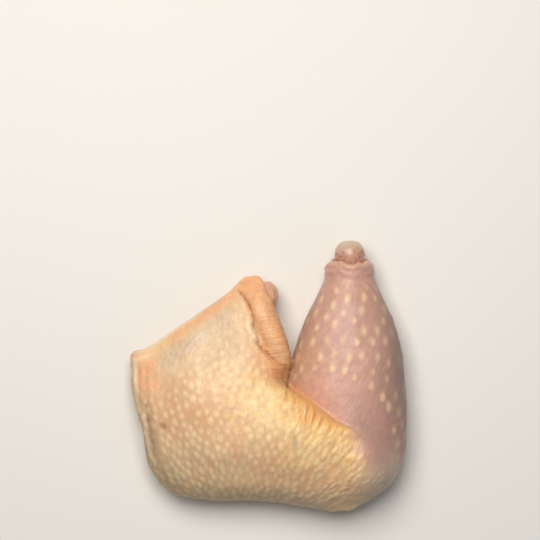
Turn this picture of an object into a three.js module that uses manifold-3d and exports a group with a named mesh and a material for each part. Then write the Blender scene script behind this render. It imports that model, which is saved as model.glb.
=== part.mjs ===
// Raw chicken leg quarter, skin side up: thigh and drumstick in one piece, bent at the knee.
// Millimetres, +Z up. The origin is on the resting face, under the middle of the leg.
// The thigh fills the -X side, the drumstick lies along +X with its knee at -Y and its hock at +Y.
import * as THREE from "three";
import { mergeVertices } from "three/addons/utils/BufferGeometryUtils.js";
import Module from "manifold-3d";

const wasm = await Module();
wasm.setup();

// Thigh: its outline seen from above, round the point where it is measured.
const THIGH_CENTRE = [-2, -22];
const THIGH_OUTLINE = [
  [-65, 12.6], // cut corner
  [-66.9, 4],
  [-67, -2.5],
  [-65.6, -10.6],
  [-63.2, -20],
  [-61.2, -29],
  [-59.8, -37],
  [-57, -45],
  [-52.4, -51.2],
  [-45.6, -55.8],
  [-31, -58.8],
  [-2.6, -59.7],
  [13, -61.4],
  [23.7, -63.2],
  [30, -64.6], // knee
  [36.3, -64.8],
  [42.8, -63],
  [49, -60],
  [55.6, -55.2],
  [60.6, -50],
  [63, -45.4],
  [62.2, -38.6],
  [57.6, -31.4], // edge that lies on the drumstick
  [51.9, -26],
  [44.9, -23.8],
  [38.1, -21.2],
  [32.2, -17.9],
  [26.8, -14],
  [21.6, -10.2],
  [15.5, -6],
  [10.6, -2.8], // notch where thigh and drumstick part
  [7.8, 1.2],
  [4.4, 6.4],
  [1.6, 13], // under the flap's roll
  [-1.2, 20],
  [-3.2, 27],
  [-4.8, 33],
  [-5.8, 40],
  [-6.6, 45],
  [-8.4, 48.4], // tip of the flap
  [-12.6, 47.6],
  [-18.6, 42.6],
  [-25.4, 37.6],
  [-34.7, 31.2],
  [-44, 25.2],
  [-53.4, 18.4],
  [-60.2, 14],
];
// Mesh lines from the thigh's centre to its outline: [how many so far, direction in degrees].
const THIGH_SPOKES = [
  [0, -180],
  [28, -70],
  [37, -32],
  [41, -12],
  [48, 9],
  [59, 54],
  [70, 84],
  [82, 100],
  [92, 142],
  [98, 158],
  [102, 180],
];
const THIGH_TOP_ROWS = 20;
const THIGH_UNDERSIDE_ROWS = 7;
const THIGH_BASE = 30; // height of the plain top, before its mounds
const THIGH_MOUNDS = [
  { x: 20, y: -24, rise: 8.5, spread: 27 }, // muscle over the knee
  { x: 42, y: -46, rise: 4, spread: 18 }, // knee
  { x: -28, y: -22, rise: 5, spread: 26 }, // outer muscle
  { x: -26, y: 20, rise: -3, spread: 14 }, // skin drawn flat over the cut side
  { x: -62, y: 8, rise: -9, spread: 18 }, // cut corner
  { x: -9, y: 47, rise: -5, spread: 15 }, // flap tip
  { x: 1, y: 7, rise: -2.6, spread: 10 }, // hollow where the flap's roll runs in
];
// How flat the top is in each direction, in degrees: 2 is a plain ellipsoid, more has a tighter shoulder.
const TOP_FLATNESS = [
  [-150, 2.6],
  [-90, 2.8],
  [-60, 3.2],
  [-40, 4],
  [-22, 5.5],
  [-8, 10],
  [50, 10],
  [95, 8],
  [125, 5],
  [150, 4],
  [170, 2.8],
];
const UNDERSIDE_FLATNESS = 3.2;
const WIDEST_LEVEL = 13; // height of the widest outline above the board
const SAG = 1.6; // how far the soft underside is pressed flat by the board
const CUT_SIDE = { from: 102, to: 150, fade: 8, inset: 3.4 }; // degrees; bare meat under the skin's edge

// Drumstick: stations from the knee to the hock.
const DRUMSTICK_KNEE = -60;
const DRUMSTICK_HOCK = 60.4;
const DRUMSTICK_STATIONS = [
  { y: -57, x: 41.6, halfWidth: 8.4, low: 6, high: 22.6 },
  { y: -52.5, x: 43.4, halfWidth: 13.8, low: 3, high: 28.2 },
  { y: -46.6, x: 44.4, halfWidth: 18.2, low: 0.6, high: 31.6 },
  { y: -40, x: 43.8, halfWidth: 21.8, low: -1, high: 33.2 },
  { y: -24.1, x: 41.4, halfWidth: 26.1, low: -1.6, high: 34.2 },
  { y: -11.4, x: 39.3, halfWidth: 28, low: -1.6, high: 33.6 },
  { y: -3.5, x: 38.5, halfWidth: 28.4, low: -1.4, high: 33.2 },
  { y: 4.4, x: 38.6, halfWidth: 27.7, low: -1.2, high: 32.6 },
  { y: 17, x: 39, halfWidth: 25.2, low: -0.4, high: 31 },
  { y: 31, x: 39.4, halfWidth: 20.5, low: 0.8, high: 28.6 },
  { y: 42, x: 39.7, halfWidth: 15.2, low: 2.4, high: 25.6 },
  { y: 49.5, x: 39.8, halfWidth: 12, low: 3.2, high: 23.6 },
  { y: 55.4, x: 39.8, halfWidth: 10.8, low: 3.2, high: 23.2 },
];
const DRUMSTICK_SIDES = 40;
const DRUMSTICK_ROWS = 36;

// Hock joint: the two rounded ends of the shin bone, one above the other.
const HOCK = { x: 39.8, y: 60.2, radius: 7.6, halfHeight: 5.6, levels: [9.2, 17.2] };

// Roll of skin along the flap's edge: a path of [x, y, height of its top].
const FLAP_ROLL = {
  path: [
    [-5.6, 50.6, 23.6],
    [-5.6, 42, 28.2],
    [-3.4, 34, 30.4],
    [-0.8, 27, 31],
    [3, 18.5, 31.4],
    [5.5, 11, 30.2],
    [6.2, 4, 27],
    [6.4, -4, 22],
  ],
  halfWidths: [7.4, 5.8], // at the flap's tip and at the roll's foot
  halfHeight: 9,
  sides: 16,
  rows: 26,
};
// Soft folds round the thigh's outer side, as ridges along the outline at a share of its distance.
const EDGE_FOLDS = {
  middle: 176, // degrees
  halfSpan: 34,
  ridges: [
    { share: 0.951, width: 0.018, height: 0.9 },
    { share: 0.853, width: 0.024, height: 0.7 },
  ],
};
// Pleats in the thigh's skin, from its edge on the drumstick inwards.
const PLEATS = {
  edge: [[11.4, -4], [15.6, -7], [21.8, -11.4], [29.4, -17.4], [36.6, -22.6], [43.6, -26]],
  lean: [-0.38, -0.92], // direction in which they run inwards
  count: 12,
  rowsEach: 4,
  rowsInwards: 9,
  length: 17,
  depth: 0.9,
  stands: 0.9,
  thickness: 4,
};
// Meat that shows past the flap's edge.
const MEAT_END = { x: -0.3, y: 40.4, z: 12.6, halfSize: [5.6, 6.8, 7.6] };

// Knee: one skin runs over thigh and drumstick, so the valley between them is filled near it.
const KNEE = { x: 55, y: -46, reach: 28, fill: 14 };

const degrees = THREE.MathUtils.degToRad;
const smoothstep = THREE.MathUtils.smoothstep;

// Slope at each point of a curve through (at[i], value[i]), from the slopes on its two sides.
function slopesOf(at, value) {
  return at.map((here, i) => {
    const before = Math.max(i - 1, 0);
    const after = Math.min(i + 1, at.length - 1);
    const left = here - at[before];
    const right = at[after] - here;
    if (left === 0) return (value[after] - value[i]) / right;
    if (right === 0) return (value[i] - value[before]) / left;
    const leftSlope = (value[i] - value[before]) / left;
    const rightSlope = (value[after] - value[i]) / right;
    return (leftSlope * right + rightSlope * left) / (left + right);
  });
}

// A smooth function through the points (at[i], value[i]): one cubic between each pair.
function smoothThrough(at, value) {
  const slopes = slopesOf(at, value);
  return (position) => {
    let i = at.findIndex((edge) => edge > position) - 1;
    if (position < at[0]) i = 0;
    if (i < 0) i = at.length - 2;
    const span = at[i + 1] - at[i];
    const t = THREE.MathUtils.clamp((position - at[i]) / span, 0, 1);
    const keep = t * t * (3 - 2 * t);
    const bend = t * (1 - t) * span * (slopes[i] * (1 - t) - slopes[i + 1] * t);
    return value[i] * (1 - keep) + value[i + 1] * keep + bend;
  };
}

// A smooth function of a direction in radians through pairs of [direction, value], closed over a full turn.
function roundTheTurn(pairs) {
  const turn = 2 * Math.PI;
  const wrapped = [
    ...pairs.slice(-2).map(([angle, value]) => [angle - turn, value]),
    ...pairs,
    ...pairs.slice(0, 2).map(([angle, value]) => [angle + turn, value]),
  ];
  return smoothThrough(wrapped.map((pair) => pair[0]), wrapped.map((pair) => pair[1]));
}

// Distance from the centre to a closed outline, as a function of the direction in radians.
function reachOf(outline, [centreX, centreY]) {
  const spokes = outline.map(([x, y]) => [
    Math.atan2(y - centreY, x - centreX),
    Math.hypot(x - centreX, y - centreY),
  ]);
  return roundTheTurn(spokes.sort((a, b) => a[0] - b[0]));
}

// Merges a geometry's shared vertices and moves each one to place(vertex).
function reshaped(geometry, place) {
  geometry.deleteAttribute("normal");
  geometry.deleteAttribute("uv");
  const merged = mergeVertices(geometry, 1e-5);
  const position = merged.getAttribute("position");
  const vertex = new THREE.Vector3();
  for (let i = 0; i < position.count; i++) {
    const moved = place(vertex.fromBufferAttribute(position, i));
    position.setXYZ(i, moved.x, moved.y, moved.z);
  }
  return merged;
}

function solidOf(geometry) {
  return new wasm.Manifold(
    new wasm.Mesh({
      numProp: 3,
      vertProperties: new Float32Array(geometry.getAttribute("position").array),
      triVerts: new Uint32Array(geometry.index.array),
    }),
  );
}

function geometryOf(solid) {
  const mesh = solid.getMesh();
  return new THREE.BufferGeometry()
    .setAttribute("position", new THREE.BufferAttribute(mesh.vertProperties, 3))
    .setIndex(new THREE.BufferAttribute(mesh.triVerts, 1));
}

const thighReach = reachOf(THIGH_OUTLINE, THIGH_CENTRE);
const thighRows = THIGH_TOP_ROWS + THIGH_UNDERSIDE_ROWS;
const spokeCount = THIGH_SPOKES.at(-1)[0];
const spokeDirection = smoothThrough(
  THIGH_SPOKES.map((pair) => pair[0]),
  THIGH_SPOKES.map((pair) => pair[1]),
);
const topFlatness = roundTheTurn(TOP_FLATNESS.map(([angle, flatness]) => [degrees(angle), flatness]));

// Height of the thigh's top skin over a point, before it rounds off towards the outline.
function thighCrown(x, y) {
  return THIGH_MOUNDS.reduce((height, mound) => {
    const away = Math.hypot(x - mound.x, y - mound.y) / mound.spread;
    return height + mound.rise * Math.exp(-away * away);
  }, THIGH_BASE);
}

// Height of the thigh's upper skin over a point, and the level of its outline beyond that.
function thighTop(x, y) {
  const angle = Math.atan2(y - THIGH_CENTRE[1], x - THIGH_CENTRE[0]);
  const share = Math.min(1, Math.hypot(x - THIGH_CENTRE[0], y - THIGH_CENTRE[1]) / thighReach(angle));
  const shoulder = Math.sqrt(1 - share ** topFlatness(angle));
  return WIDEST_LEVEL + (thighCrown(x, y) - WIDEST_LEVEL) * shoulder;
}

// How far the folds round the outer side stand out, for a direction and a share of the outline's distance.
function edgeFoldHeight(angle, share) {
  const away = Math.abs(THREE.MathUtils.radToDeg(angle) - EDGE_FOLDS.middle);
  const near = 1 - smoothstep(Math.min(away, 360 - away) / EDGE_FOLDS.halfSpan, 0.5, 1);
  return EDGE_FOLDS.ridges.reduce((height, ridge) => {
    const across = (share - ridge.share) / ridge.width;
    return height + near * ridge.height * Math.exp(-across * across);
  }, 0);
}

// How fully a direction faces the cut side, from 0 to 1.
function facesCut(angle) {
  const { from, to, fade } = CUT_SIDE;
  const into = smoothstep(angle, degrees(from - fade), degrees(from));
  return into * (1 - smoothstep(angle, degrees(to), degrees(to + fade)));
}

// The thigh's surface point for a direction on the unit sphere: a flattened dome over its outline.
function thighPoint(direction) {
  const spoke = (Math.atan2(direction.y, direction.x) / (2 * Math.PI) + 0.5) * spokeCount;
  const angle = degrees(spokeDirection(spoke));
  const row = (Math.acos(THREE.MathUtils.clamp(direction.z, -1, 1)) / Math.PI) * thighRows;
  const upper = row <= THIGH_TOP_ROWS;
  const fromMiddle = upper ? row / THIGH_TOP_ROWS : (thighRows - row) / THIGH_UNDERSIDE_ROWS;
  const share = Math.min(1, Math.sin((Math.PI / 2) * fromMiddle));
  const tuck = upper ? 0 : CUT_SIDE.inset * facesCut(angle) * smoothstep(1 - share, 0, 0.1);
  const fold = upper ? Math.SQRT1_2 * edgeFoldHeight(angle, share) : 0;
  const reach = (thighReach(angle) - tuck) * share + fold;
  const x = THIGH_CENTRE[0] + reach * Math.cos(angle);
  const y = THIGH_CENTRE[1] + reach * Math.sin(angle);
  const shoulder = Math.sqrt(1 - share ** (upper ? topFlatness(angle) : UNDERSIDE_FLATNESS));
  const full = upper ? thighCrown(x, y) - WIDEST_LEVEL : -WIDEST_LEVEL - SAG;
  return new THREE.Vector3(x, y, WIDEST_LEVEL + full * shoulder + fold);
}

function thigh() {
  const sphere = new THREE.SphereGeometry(1, spokeCount, thighRows).rotateX(Math.PI / 2);
  return reshaped(sphere, thighPoint);
}

// A drumstick station's value as a function of y. A size is divided by the round of the two ends.
function alongDrumstick(pick, isSize) {
  const middle = (DRUMSTICK_HOCK + DRUMSTICK_KNEE) / 2;
  const half = (DRUMSTICK_HOCK - DRUMSTICK_KNEE) / 2;
  const roundOf = (y) => (isSize ? Math.sqrt(1 - ((y - middle) / half) ** 2) : 1);
  return smoothThrough(
    DRUMSTICK_STATIONS.map((station) => station.y),
    DRUMSTICK_STATIONS.map((station) => pick(station) / roundOf(station.y)),
  );
}

const drumstickMiddle = alongDrumstick((station) => station.x, false);
const drumstickLevel = alongDrumstick((station) => (station.low + station.high) / 2, false);
const drumstickHalfWidth = alongDrumstick((station) => station.halfWidth, true);
const drumstickHalfHeight = alongDrumstick((station) => (station.high - station.low) / 2, true);

// Height of the drumstick's upper skin over a point, and the level of its sides beyond that.
function drumstickTop(x, y) {
  const along = THREE.MathUtils.mapLinear(y, DRUMSTICK_KNEE, DRUMSTICK_HOCK, -1, 1);
  const across = (x - drumstickMiddle(y)) / drumstickHalfWidth(y);
  return drumstickLevel(y) + drumstickHalfHeight(y) * Math.sqrt(Math.max(0, 1 - along ** 2 - across ** 2));
}

// The drumstick's surface point for a direction on the unit sphere whose poles are knee and hock.
function drumstickPoint(direction) {
  const y = THREE.MathUtils.mapLinear(direction.y, -1, 1, DRUMSTICK_KNEE, DRUMSTICK_HOCK);
  return new THREE.Vector3(
    drumstickMiddle(y) + drumstickHalfWidth(y) * direction.x,
    y,
    drumstickLevel(y) + drumstickHalfHeight(y) * direction.z,
  );
}

function drumstick() {
  return reshaped(new THREE.SphereGeometry(1, DRUMSTICK_SIDES, DRUMSTICK_ROWS), drumstickPoint);
}

// The roll of skin: a bead under the line of its crest, drawn in at both ends.
function flapRoll() {
  const crest = new THREE.CatmullRomCurve3(FLAP_ROLL.path.map((point) => new THREE.Vector3(...point)));
  const up = new THREE.Vector3(0, 0, 1);
  return reshaped(new THREE.SphereGeometry(1, FLAP_ROLL.sides, FLAP_ROLL.rows), (direction) => {
    const along = Math.acos(THREE.MathUtils.clamp(direction.y, -1, 1)) / Math.PI;
    const radial = Math.hypot(direction.x, direction.z);
    const bluntness = radial > 0 ? radial ** -0.6 : 0;
    const halfWidth = THREE.MathUtils.lerp(...FLAP_ROLL.halfWidths, along);
    const side = new THREE.Vector3().crossVectors(up, crest.getTangentAt(along)).normalize();
    return crest
      .getPointAt(along)
      .addScaledVector(side, direction.x * halfWidth * bluntness)
      .addScaledVector(up, (direction.z * bluntness - 1) * FLAP_ROLL.halfHeight);
  });
}

// The pleated strip of the thigh's skin, as a pad whose top follows the thigh's.
function pleats() {
  const edge = new THREE.CatmullRomCurve3(PLEATS.edge.map(([x, y]) => new THREE.Vector3(x, y, 0)));
  const lean = new THREE.Vector3(...PLEATS.lean, 0);
  const pad = new THREE.BoxGeometry(1, 1, 1, PLEATS.count * PLEATS.rowsEach, PLEATS.rowsInwards, 1);
  return reshaped(pad.translate(0.5, 0.5, 0), (corner) => {
    const inwards = (1 - corner.y) ** 1.5;
    const point = edge.getPointAt(corner.x).addScaledVector(lean, inwards * PLEATS.length);
    const fullness = Math.sin(Math.PI * corner.x) ** 0.5 * (1 - inwards ** 3);
    const groove = 0.5 - 0.5 * Math.cos(2 * Math.PI * PLEATS.count * corner.x);
    const relief = fullness * (PLEATS.stands - PLEATS.depth * groove) - 0.5 * (1 - fullness);
    const top = thighTop(point.x, point.y) + relief;
    return new THREE.Vector3(point.x, point.y, corner.z > 0 ? top : top - PLEATS.thickness);
  });
}

function ellipsoid([x, y, z], [halfX, halfY, halfZ], sides, rows) {
  return reshaped(new THREE.SphereGeometry(1, sides, rows), (direction) => {
    return new THREE.Vector3(x + direction.x * halfX, y + direction.y * halfY, z + direction.z * halfZ);
  });
}

// Raises the points near the knee to a soft maximum of the two tops, so that no valley is left there.
function kneeFilled(geometry) {
  return reshaped(geometry, (point) => {
    const away = Math.hypot(point.x - KNEE.x, point.y - KNEE.y) / KNEE.reach;
    const width = KNEE.fill * (1 - smoothstep(away, 0.3, 1));
    const apart = Math.abs(thighTop(point.x, point.y) - drumstickTop(point.x, point.y));
    const overlap = Math.max(width - apart, 0);
    const rise = width > 0 ? (overlap * overlap) / (4 * width) : 0;
    point.z += rise * smoothstep(point.z, WIDEST_LEVEL, WIDEST_LEVEL + 8);
    return point;
  });
}

function legQuarter() {
  const hock = HOCK.levels.map((z) =>
    ellipsoid([HOCK.x, HOCK.y, z], [HOCK.radius, HOCK.radius, HOCK.halfHeight], 18, 12),
  );
  const pieces = [
    drumstick(),
    flapRoll(),
    pleats(),
    ellipsoid([MEAT_END.x, MEAT_END.y, MEAT_END.z], MEAT_END.halfSize, 16, 10),
    ...hock,
  ];
  const joined = pieces.map(solidOf).reduce((whole, piece) => whole.add(piece), solidOf(thigh()));
  const filled = solidOf(kneeFilled(geometryOf(joined)));
  const boardThickness = 40;
  const board = new THREE.BoxGeometry(300, 300, boardThickness).translate(0, 0, -boardThickness / 2);
  const leg = geometryOf(filled.subtract(solidOf(reshaped(board, (vertex) => vertex))));
  leg.computeBoundingBox();
  const middle = leg.boundingBox.getCenter(new THREE.Vector3());
  return leg.translate(-middle.x, -middle.y, 0);
}

const skin = new THREE.MeshStandardMaterial({ color: 0xe4b98c, roughness: 0.48, metalness: 0 });
const leg = new THREE.Mesh(legQuarter(), skin);
leg.name = "leg_quarter";

const group = new THREE.Group();
group.add(leg);

export default group;
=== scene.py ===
"""Raw chicken leg quarter, skin side up, on a pale floor under soft light.

Thigh and drumstick are one body of skin over meat, bent at the knee. Every form is worked out in
millimetres on the leg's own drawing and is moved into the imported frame, in metres, when it becomes a mesh.
"""

import itertools
import logging
import math
from dataclasses import dataclass, field
from enum import Enum

import bpy
import numpy as np
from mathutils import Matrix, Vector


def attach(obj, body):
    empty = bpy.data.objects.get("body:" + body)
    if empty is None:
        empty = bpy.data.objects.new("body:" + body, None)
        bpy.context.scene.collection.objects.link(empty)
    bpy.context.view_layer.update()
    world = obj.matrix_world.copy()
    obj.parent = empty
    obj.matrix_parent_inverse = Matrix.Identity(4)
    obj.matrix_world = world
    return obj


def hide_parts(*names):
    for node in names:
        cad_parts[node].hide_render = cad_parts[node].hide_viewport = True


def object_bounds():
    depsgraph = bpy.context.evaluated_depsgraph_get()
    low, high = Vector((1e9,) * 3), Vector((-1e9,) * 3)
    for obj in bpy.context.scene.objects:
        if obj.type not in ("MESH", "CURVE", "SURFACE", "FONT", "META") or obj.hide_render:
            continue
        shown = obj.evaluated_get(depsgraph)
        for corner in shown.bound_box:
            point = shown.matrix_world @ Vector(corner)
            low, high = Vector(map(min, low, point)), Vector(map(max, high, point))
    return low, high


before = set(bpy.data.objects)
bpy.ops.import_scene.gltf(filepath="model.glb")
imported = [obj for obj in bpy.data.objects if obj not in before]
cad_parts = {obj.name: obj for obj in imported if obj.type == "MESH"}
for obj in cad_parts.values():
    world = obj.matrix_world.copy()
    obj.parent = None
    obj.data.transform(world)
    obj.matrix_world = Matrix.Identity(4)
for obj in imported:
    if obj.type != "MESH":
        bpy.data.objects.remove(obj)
CAD_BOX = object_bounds()

Array = np.ndarray
Point = tuple[float, float]
Span = tuple[float, float]
Triple = tuple[float, float, float]
Socket = bpy.types.NodeSocket
log = logging.getLogger("leg_quarter")

MM = 0.001
SKIN_VOXEL = 0.68  # mm between the points of the skin
FLOOR_CLEARANCE = 0.02  # mm


class Slot(Enum):
    """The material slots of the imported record."""

    LEG_SKIN = "leg_skin"
    RAW_MEAT = "raw_meat"
    JOINT_CARTILAGE = "joint_cartilage"


# --- numbers and curves ---------------------------------------------------------------------------


def smoothstep(value: Array, low: float, high: float) -> Array:
    """Eases from 0 at low to 1 at high.

    Args:
        value: Where to read the step.
        low: Value at which it starts.
        high: Value at which it is full.

    Returns:
        3t² - 2t³, where t is the clipped share of the way.
    """
    t = np.clip((value - low) / (high - low), 0.0, 1.0)
    return t * t * (3.0 - 2.0 * t)


def bell(distance: Array, spread: float) -> Array:
    """Gives exp(-(distance / spread)²)."""
    return np.exp(-((distance / spread) ** 2))


def blend(share: Array, first: Array, second: Array) -> Array:
    """Gives first where share is 0 and second where it is 1."""
    return first + (second - first) * share


@dataclass(frozen=True)
class SmoothCurve:
    """A smooth function through points (at, value): a cubic between each pair, sloped from both sides."""

    at: Array
    value: Array

    @classmethod
    def through(cls, pairs: list[Point]) -> "SmoothCurve":
        """Makes the curve from a list of (at, value)."""
        table = np.array(pairs, float)
        return cls(table[:, 0], table[:, 1])

    @classmethod
    def round_the_turn(cls, pairs: list[Point]) -> "SmoothCurve":
        """Makes a curve over a direction in radians that closes after a full turn.

        Args:
            pairs: Points (direction, value).

        Returns:
            The curve, with two points of the next turn added at each end.
        """
        ordered = sorted(pairs)
        turn = 2.0 * math.pi
        before = [(angle - turn, value) for angle, value in ordered[-2:]]
        after = [(angle + turn, value) for angle, value in ordered[:2]]
        return cls.through(before + ordered + after)

    def _slopes(self) -> Array:
        """Gives the slope at each point, weighted by the spans on its two sides."""
        span = np.diff(self.at)
        rise = np.diff(self.value) / span
        inner = (rise[:-1] * span[1:] + rise[1:] * span[:-1]) / (span[:-1] + span[1:])
        return np.concatenate([rise[:1], inner, rise[-1:]])

    def __call__(self, position: Array) -> Array:
        """Reads the curve.

        Args:
            position: Where to read it. Beyond the ends the end values hold.

        Returns:
            The curve's value at each position.
        """
        slopes = self._slopes()
        i = np.clip(np.searchsorted(self.at, position, side="right") - 1, 0, len(self.at) - 2)
        span = self.at[i + 1] - self.at[i]
        t = np.clip((position - self.at[i]) / span, 0.0, 1.0)
        keep = t * t * (3.0 - 2.0 * t)
        bend = t * (1.0 - t) * span * (slopes[i] * (1.0 - t) - slopes[i + 1] * t)
        return self.value[i] * (1.0 - keep) + self.value[i + 1] * keep + bend


@dataclass(frozen=True)
class SoftNoise:
    """Smooth random hills: values on a lattice of cells, eased between its corners, summed over octaves."""

    seed: int
    size: float
    octaves: int = 2

    def at(self, points: Array) -> Array:
        """Reads the noise.

        Args:
            points: Places in millimetres, one row each.

        Returns:
            Values from about -1 to 1.
        """
        total = np.zeros(len(points))
        for octave in range(self.octaves):
            total += self._layer(points * (2.0**octave / self.size), octave) / 2.0**octave
        return total / (2.0 - 2.0 ** (1 - self.octaves))

    def _layer(self, grid: Array, octave: int) -> Array:
        """Reads one octave: the lattice's values, eased between the eight corners of each cell."""
        period = 32
        table = np.random.default_rng(self.seed + octave).uniform(-1.0, 1.0, (period,) * 3)
        cell = np.floor(grid).astype(np.int64)
        part = grid - cell
        ease = part * part * (3.0 - 2.0 * part)
        value = np.zeros(len(grid))
        for corner in itertools.product((0, 1), repeat=3):
            weight = np.prod(np.where(corner, ease, 1.0 - ease), axis=1)
            x, y, z = ((cell + corner) % period).T
            value += table[x, y, z] * weight
        return value


@dataclass(frozen=True)
class PlanLine:
    """A line on the leg as seen from above, in millimetres."""

    points: tuple[Point, ...]

    def measure(self, x: Array, y: Array) -> tuple[Array, Array]:
        """Finds the nearest place of the line for each point.

        Args:
            x: Places along X.
            y: Places along Y.

        Returns:
            The distance, positive on the left of the line's run, and how far along the line it is.
        """
        best = np.full(x.shape, np.inf)
        along = np.zeros(x.shape)
        side = np.ones(x.shape)
        start = 0.0
        for (ax, ay), (bx, by) in zip(self.points[:-1], self.points[1:]):
            dx, dy = bx - ax, by - ay
            length = math.hypot(dx, dy)
            t = np.clip(((x - ax) * dx + (y - ay) * dy) / length**2, 0.0, 1.0)
            away = np.hypot(x - ax - t * dx, y - ay - t * dy)
            nearer = away < best
            best = np.where(nearer, away, best)
            along = np.where(nearer, start + t * length, along)
            side = np.where(nearer, np.sign(dx * (y - ay) - dy * (x - ax)), side)
            start += length
        return best * np.where(side == 0.0, 1.0, side), along


@dataclass(frozen=True)
class Patch:
    """A soft oval patch seen from above, turned by some degrees: exp(-(u² + v²)) in its own half widths."""

    x: float
    y: float
    half_x: float
    half_y: float
    turn: float = 0.0
    strength: float = 1.0

    def over(self, x: Array, y: Array) -> Array:
        """Gives the patch's strength over each place."""
        c, s = math.cos(math.radians(self.turn)), math.sin(math.radians(self.turn))
        u = ((x - self.x) * c + (y - self.y) * s) / self.half_x
        v = ((y - self.y) * c - (x - self.x) * s) / self.half_y
        return self.strength * np.exp(-(u * u + v * v))


def summed(patches: tuple[Patch, ...], x: Array, y: Array) -> Array:
    """Adds up what the patches give over each place."""
    return sum(patch.over(x, y) for patch in patches)


def patched(patches: tuple[Patch, ...], x: Array, y: Array) -> Array:
    """Gives 1 minus the product of what each patch leaves bare, so that overlaps never pass 1."""
    bare = np.ones(x.shape)
    for patch in patches:
        bare *= 1.0 - np.clip(patch.over(x, y), 0.0, 1.0)
    return 1.0 - bare


# --- surfaces -------------------------------------------------------------------------------------


@dataclass
class Shell:
    """A closed surface: its points in millimetres and its triangles."""

    points: Array
    triangles: Array

    @classmethod
    def from_rows(cls, top: Array, rows: Array, bottom: Array) -> "Shell":
        """Closes a grid of rings with a pole at each end, facing outwards.

        Args:
            top: The first pole.
            rows: Rings of points, shaped (rings, points round a ring, 3).
            bottom: The last pole.

        Returns:
            The closed surface. A ring's last point joins its first.
        """
        rings, around = rows.shape[:2]
        index = 1 + np.arange(rings * around).reshape(rings, around)
        beside = np.roll(index, -1, axis=1)
        upper, upper_next, lower, lower_next = index[:-1], beside[:-1], index[1:], beside[1:]
        last = 1 + rings * around
        parts = [
            np.stack([upper, lower, upper_next], -1).reshape(-1, 3),
            np.stack([upper_next, lower, lower_next], -1).reshape(-1, 3),
            np.stack([np.zeros(around, int), index[0], beside[0]], -1),
            np.stack([np.full(around, last), beside[-1], index[-1]], -1),
        ]
        shell = cls(np.vstack([top[None], rows.reshape(-1, 3), bottom[None]]), np.vstack(parts))
        return shell.facing_outwards()

    @classmethod
    def joined(cls, shells: list["Shell"]) -> "Shell":
        """Puts several surfaces into one list of points and triangles."""
        starts = np.cumsum([0] + [len(shell.points) for shell in shells[:-1]])
        triangles = [shell.triangles + start for shell, start in zip(shells, starts)]
        return cls(np.vstack([shell.points for shell in shells]), np.vstack(triangles))

    def facing_outwards(self) -> "Shell":
        """Turns every triangle round if the enclosed volume comes out negative."""
        a, b, c = (self.points[self.triangles[:, k]] for k in range(3))
        if np.einsum("ij,ij->i", a, np.cross(b, c)).sum() < 0.0:
            self.triangles = self.triangles[:, ::-1].copy()
        return self

    def normals(self) -> Array:
        """Gives each point the area-weighted mean normal of its triangles."""
        a, b, c = (self.points[self.triangles[:, k]] for k in range(3))
        face = np.cross(b - a, c - a)
        total = np.zeros_like(self.points)
        for corner, axis in itertools.product(range(3), range(3)):
            total[:, axis] += np.bincount(self.triangles[:, corner], face[:, axis], len(total))
        return total / np.maximum(np.linalg.norm(total, axis=1, keepdims=True), 1e-9)

    def relaxed(self, weight: Array, passes: int) -> None:
        """Moves each point towards the mean of its neighbours, by its weight, several times.

        Args:
            weight: From 0, which keeps a point, to 1, which puts it on the mean.
            passes: How many times.
        """
        start = self.triangles.ravel()
        end = np.roll(self.triangles, -1, axis=1).ravel()
        count = np.maximum(np.bincount(start, minlength=len(self.points)), 1)
        for _ in range(passes):
            sums = [np.bincount(start, self.points[end, axis], len(self.points)) for axis in range(3)]
            mean = np.stack(sums, 1) / count[:, None]
            self.points = self.points + weight[:, None] * (mean - self.points)

    def remeshed(self, voxel: float) -> "Shell":
        """Melts everything into one even skin with Blender's voxel remesh.

        Args:
            voxel: Distance between the new points, in millimetres.

        Returns:
            The outer surface of all the bodies together.
        """
        thing = put("melt", mesh_of("melt", self, 1.0))
        modifier = thing.modifiers.new("melt", "REMESH")
        modifier.mode, modifier.voxel_size, modifier.adaptivity = "VOXEL", voxel, 0.0
        melted = thing.evaluated_get(bpy.context.evaluated_depsgraph_get()).to_mesh()
        melted.calc_loop_triangles()
        points = np.zeros(len(melted.vertices) * 3)
        triangles = np.zeros(len(melted.loop_triangles) * 3, np.int32)
        melted.vertices.foreach_get("co", points)
        melted.loop_triangles.foreach_get("vertices", triangles)
        mesh = thing.data
        bpy.data.objects.remove(thing)
        bpy.data.meshes.remove(mesh)
        return Shell(points.reshape(-1, 3), triangles.reshape(-1, 3).astype(np.int64)).facing_outwards()


def put(name: str, data: bpy.types.ID) -> bpy.types.Object:
    """Makes an object of a mesh, a light or a camera and puts it into the scene."""
    thing = bpy.data.objects.new(name, data)
    bpy.context.scene.collection.objects.link(thing)
    return thing


def mesh_of(name: str, shell: Shell, scale: float, shift: Array | None = None) -> bpy.types.Mesh:
    """Makes a smooth-shaded mesh of a surface.

    Args:
        name: The mesh's name.
        shell: Its points and triangles.
        scale: What the points are multiplied by.
        shift: What is added to the points before that.

    Returns:
        The mesh.
    """
    points = (shell.points if shift is None else shell.points + shift) * scale
    mesh = bpy.data.meshes.new(name)
    mesh.vertices.add(len(points))
    mesh.vertices.foreach_set("co", points.astype(np.float32).ravel())
    mesh.loops.add(shell.triangles.size)
    mesh.loops.foreach_set("vertex_index", shell.triangles.astype(np.int32).ravel())
    mesh.polygons.add(len(shell.triangles))
    mesh.polygons.foreach_set("loop_start", np.arange(0, shell.triangles.size, 3, dtype=np.int32))
    mesh.polygons.foreach_set("use_smooth", np.ones(len(shell.triangles), bool))
    mesh.update(calc_edges=True)
    mesh.validate()
    return mesh


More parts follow.
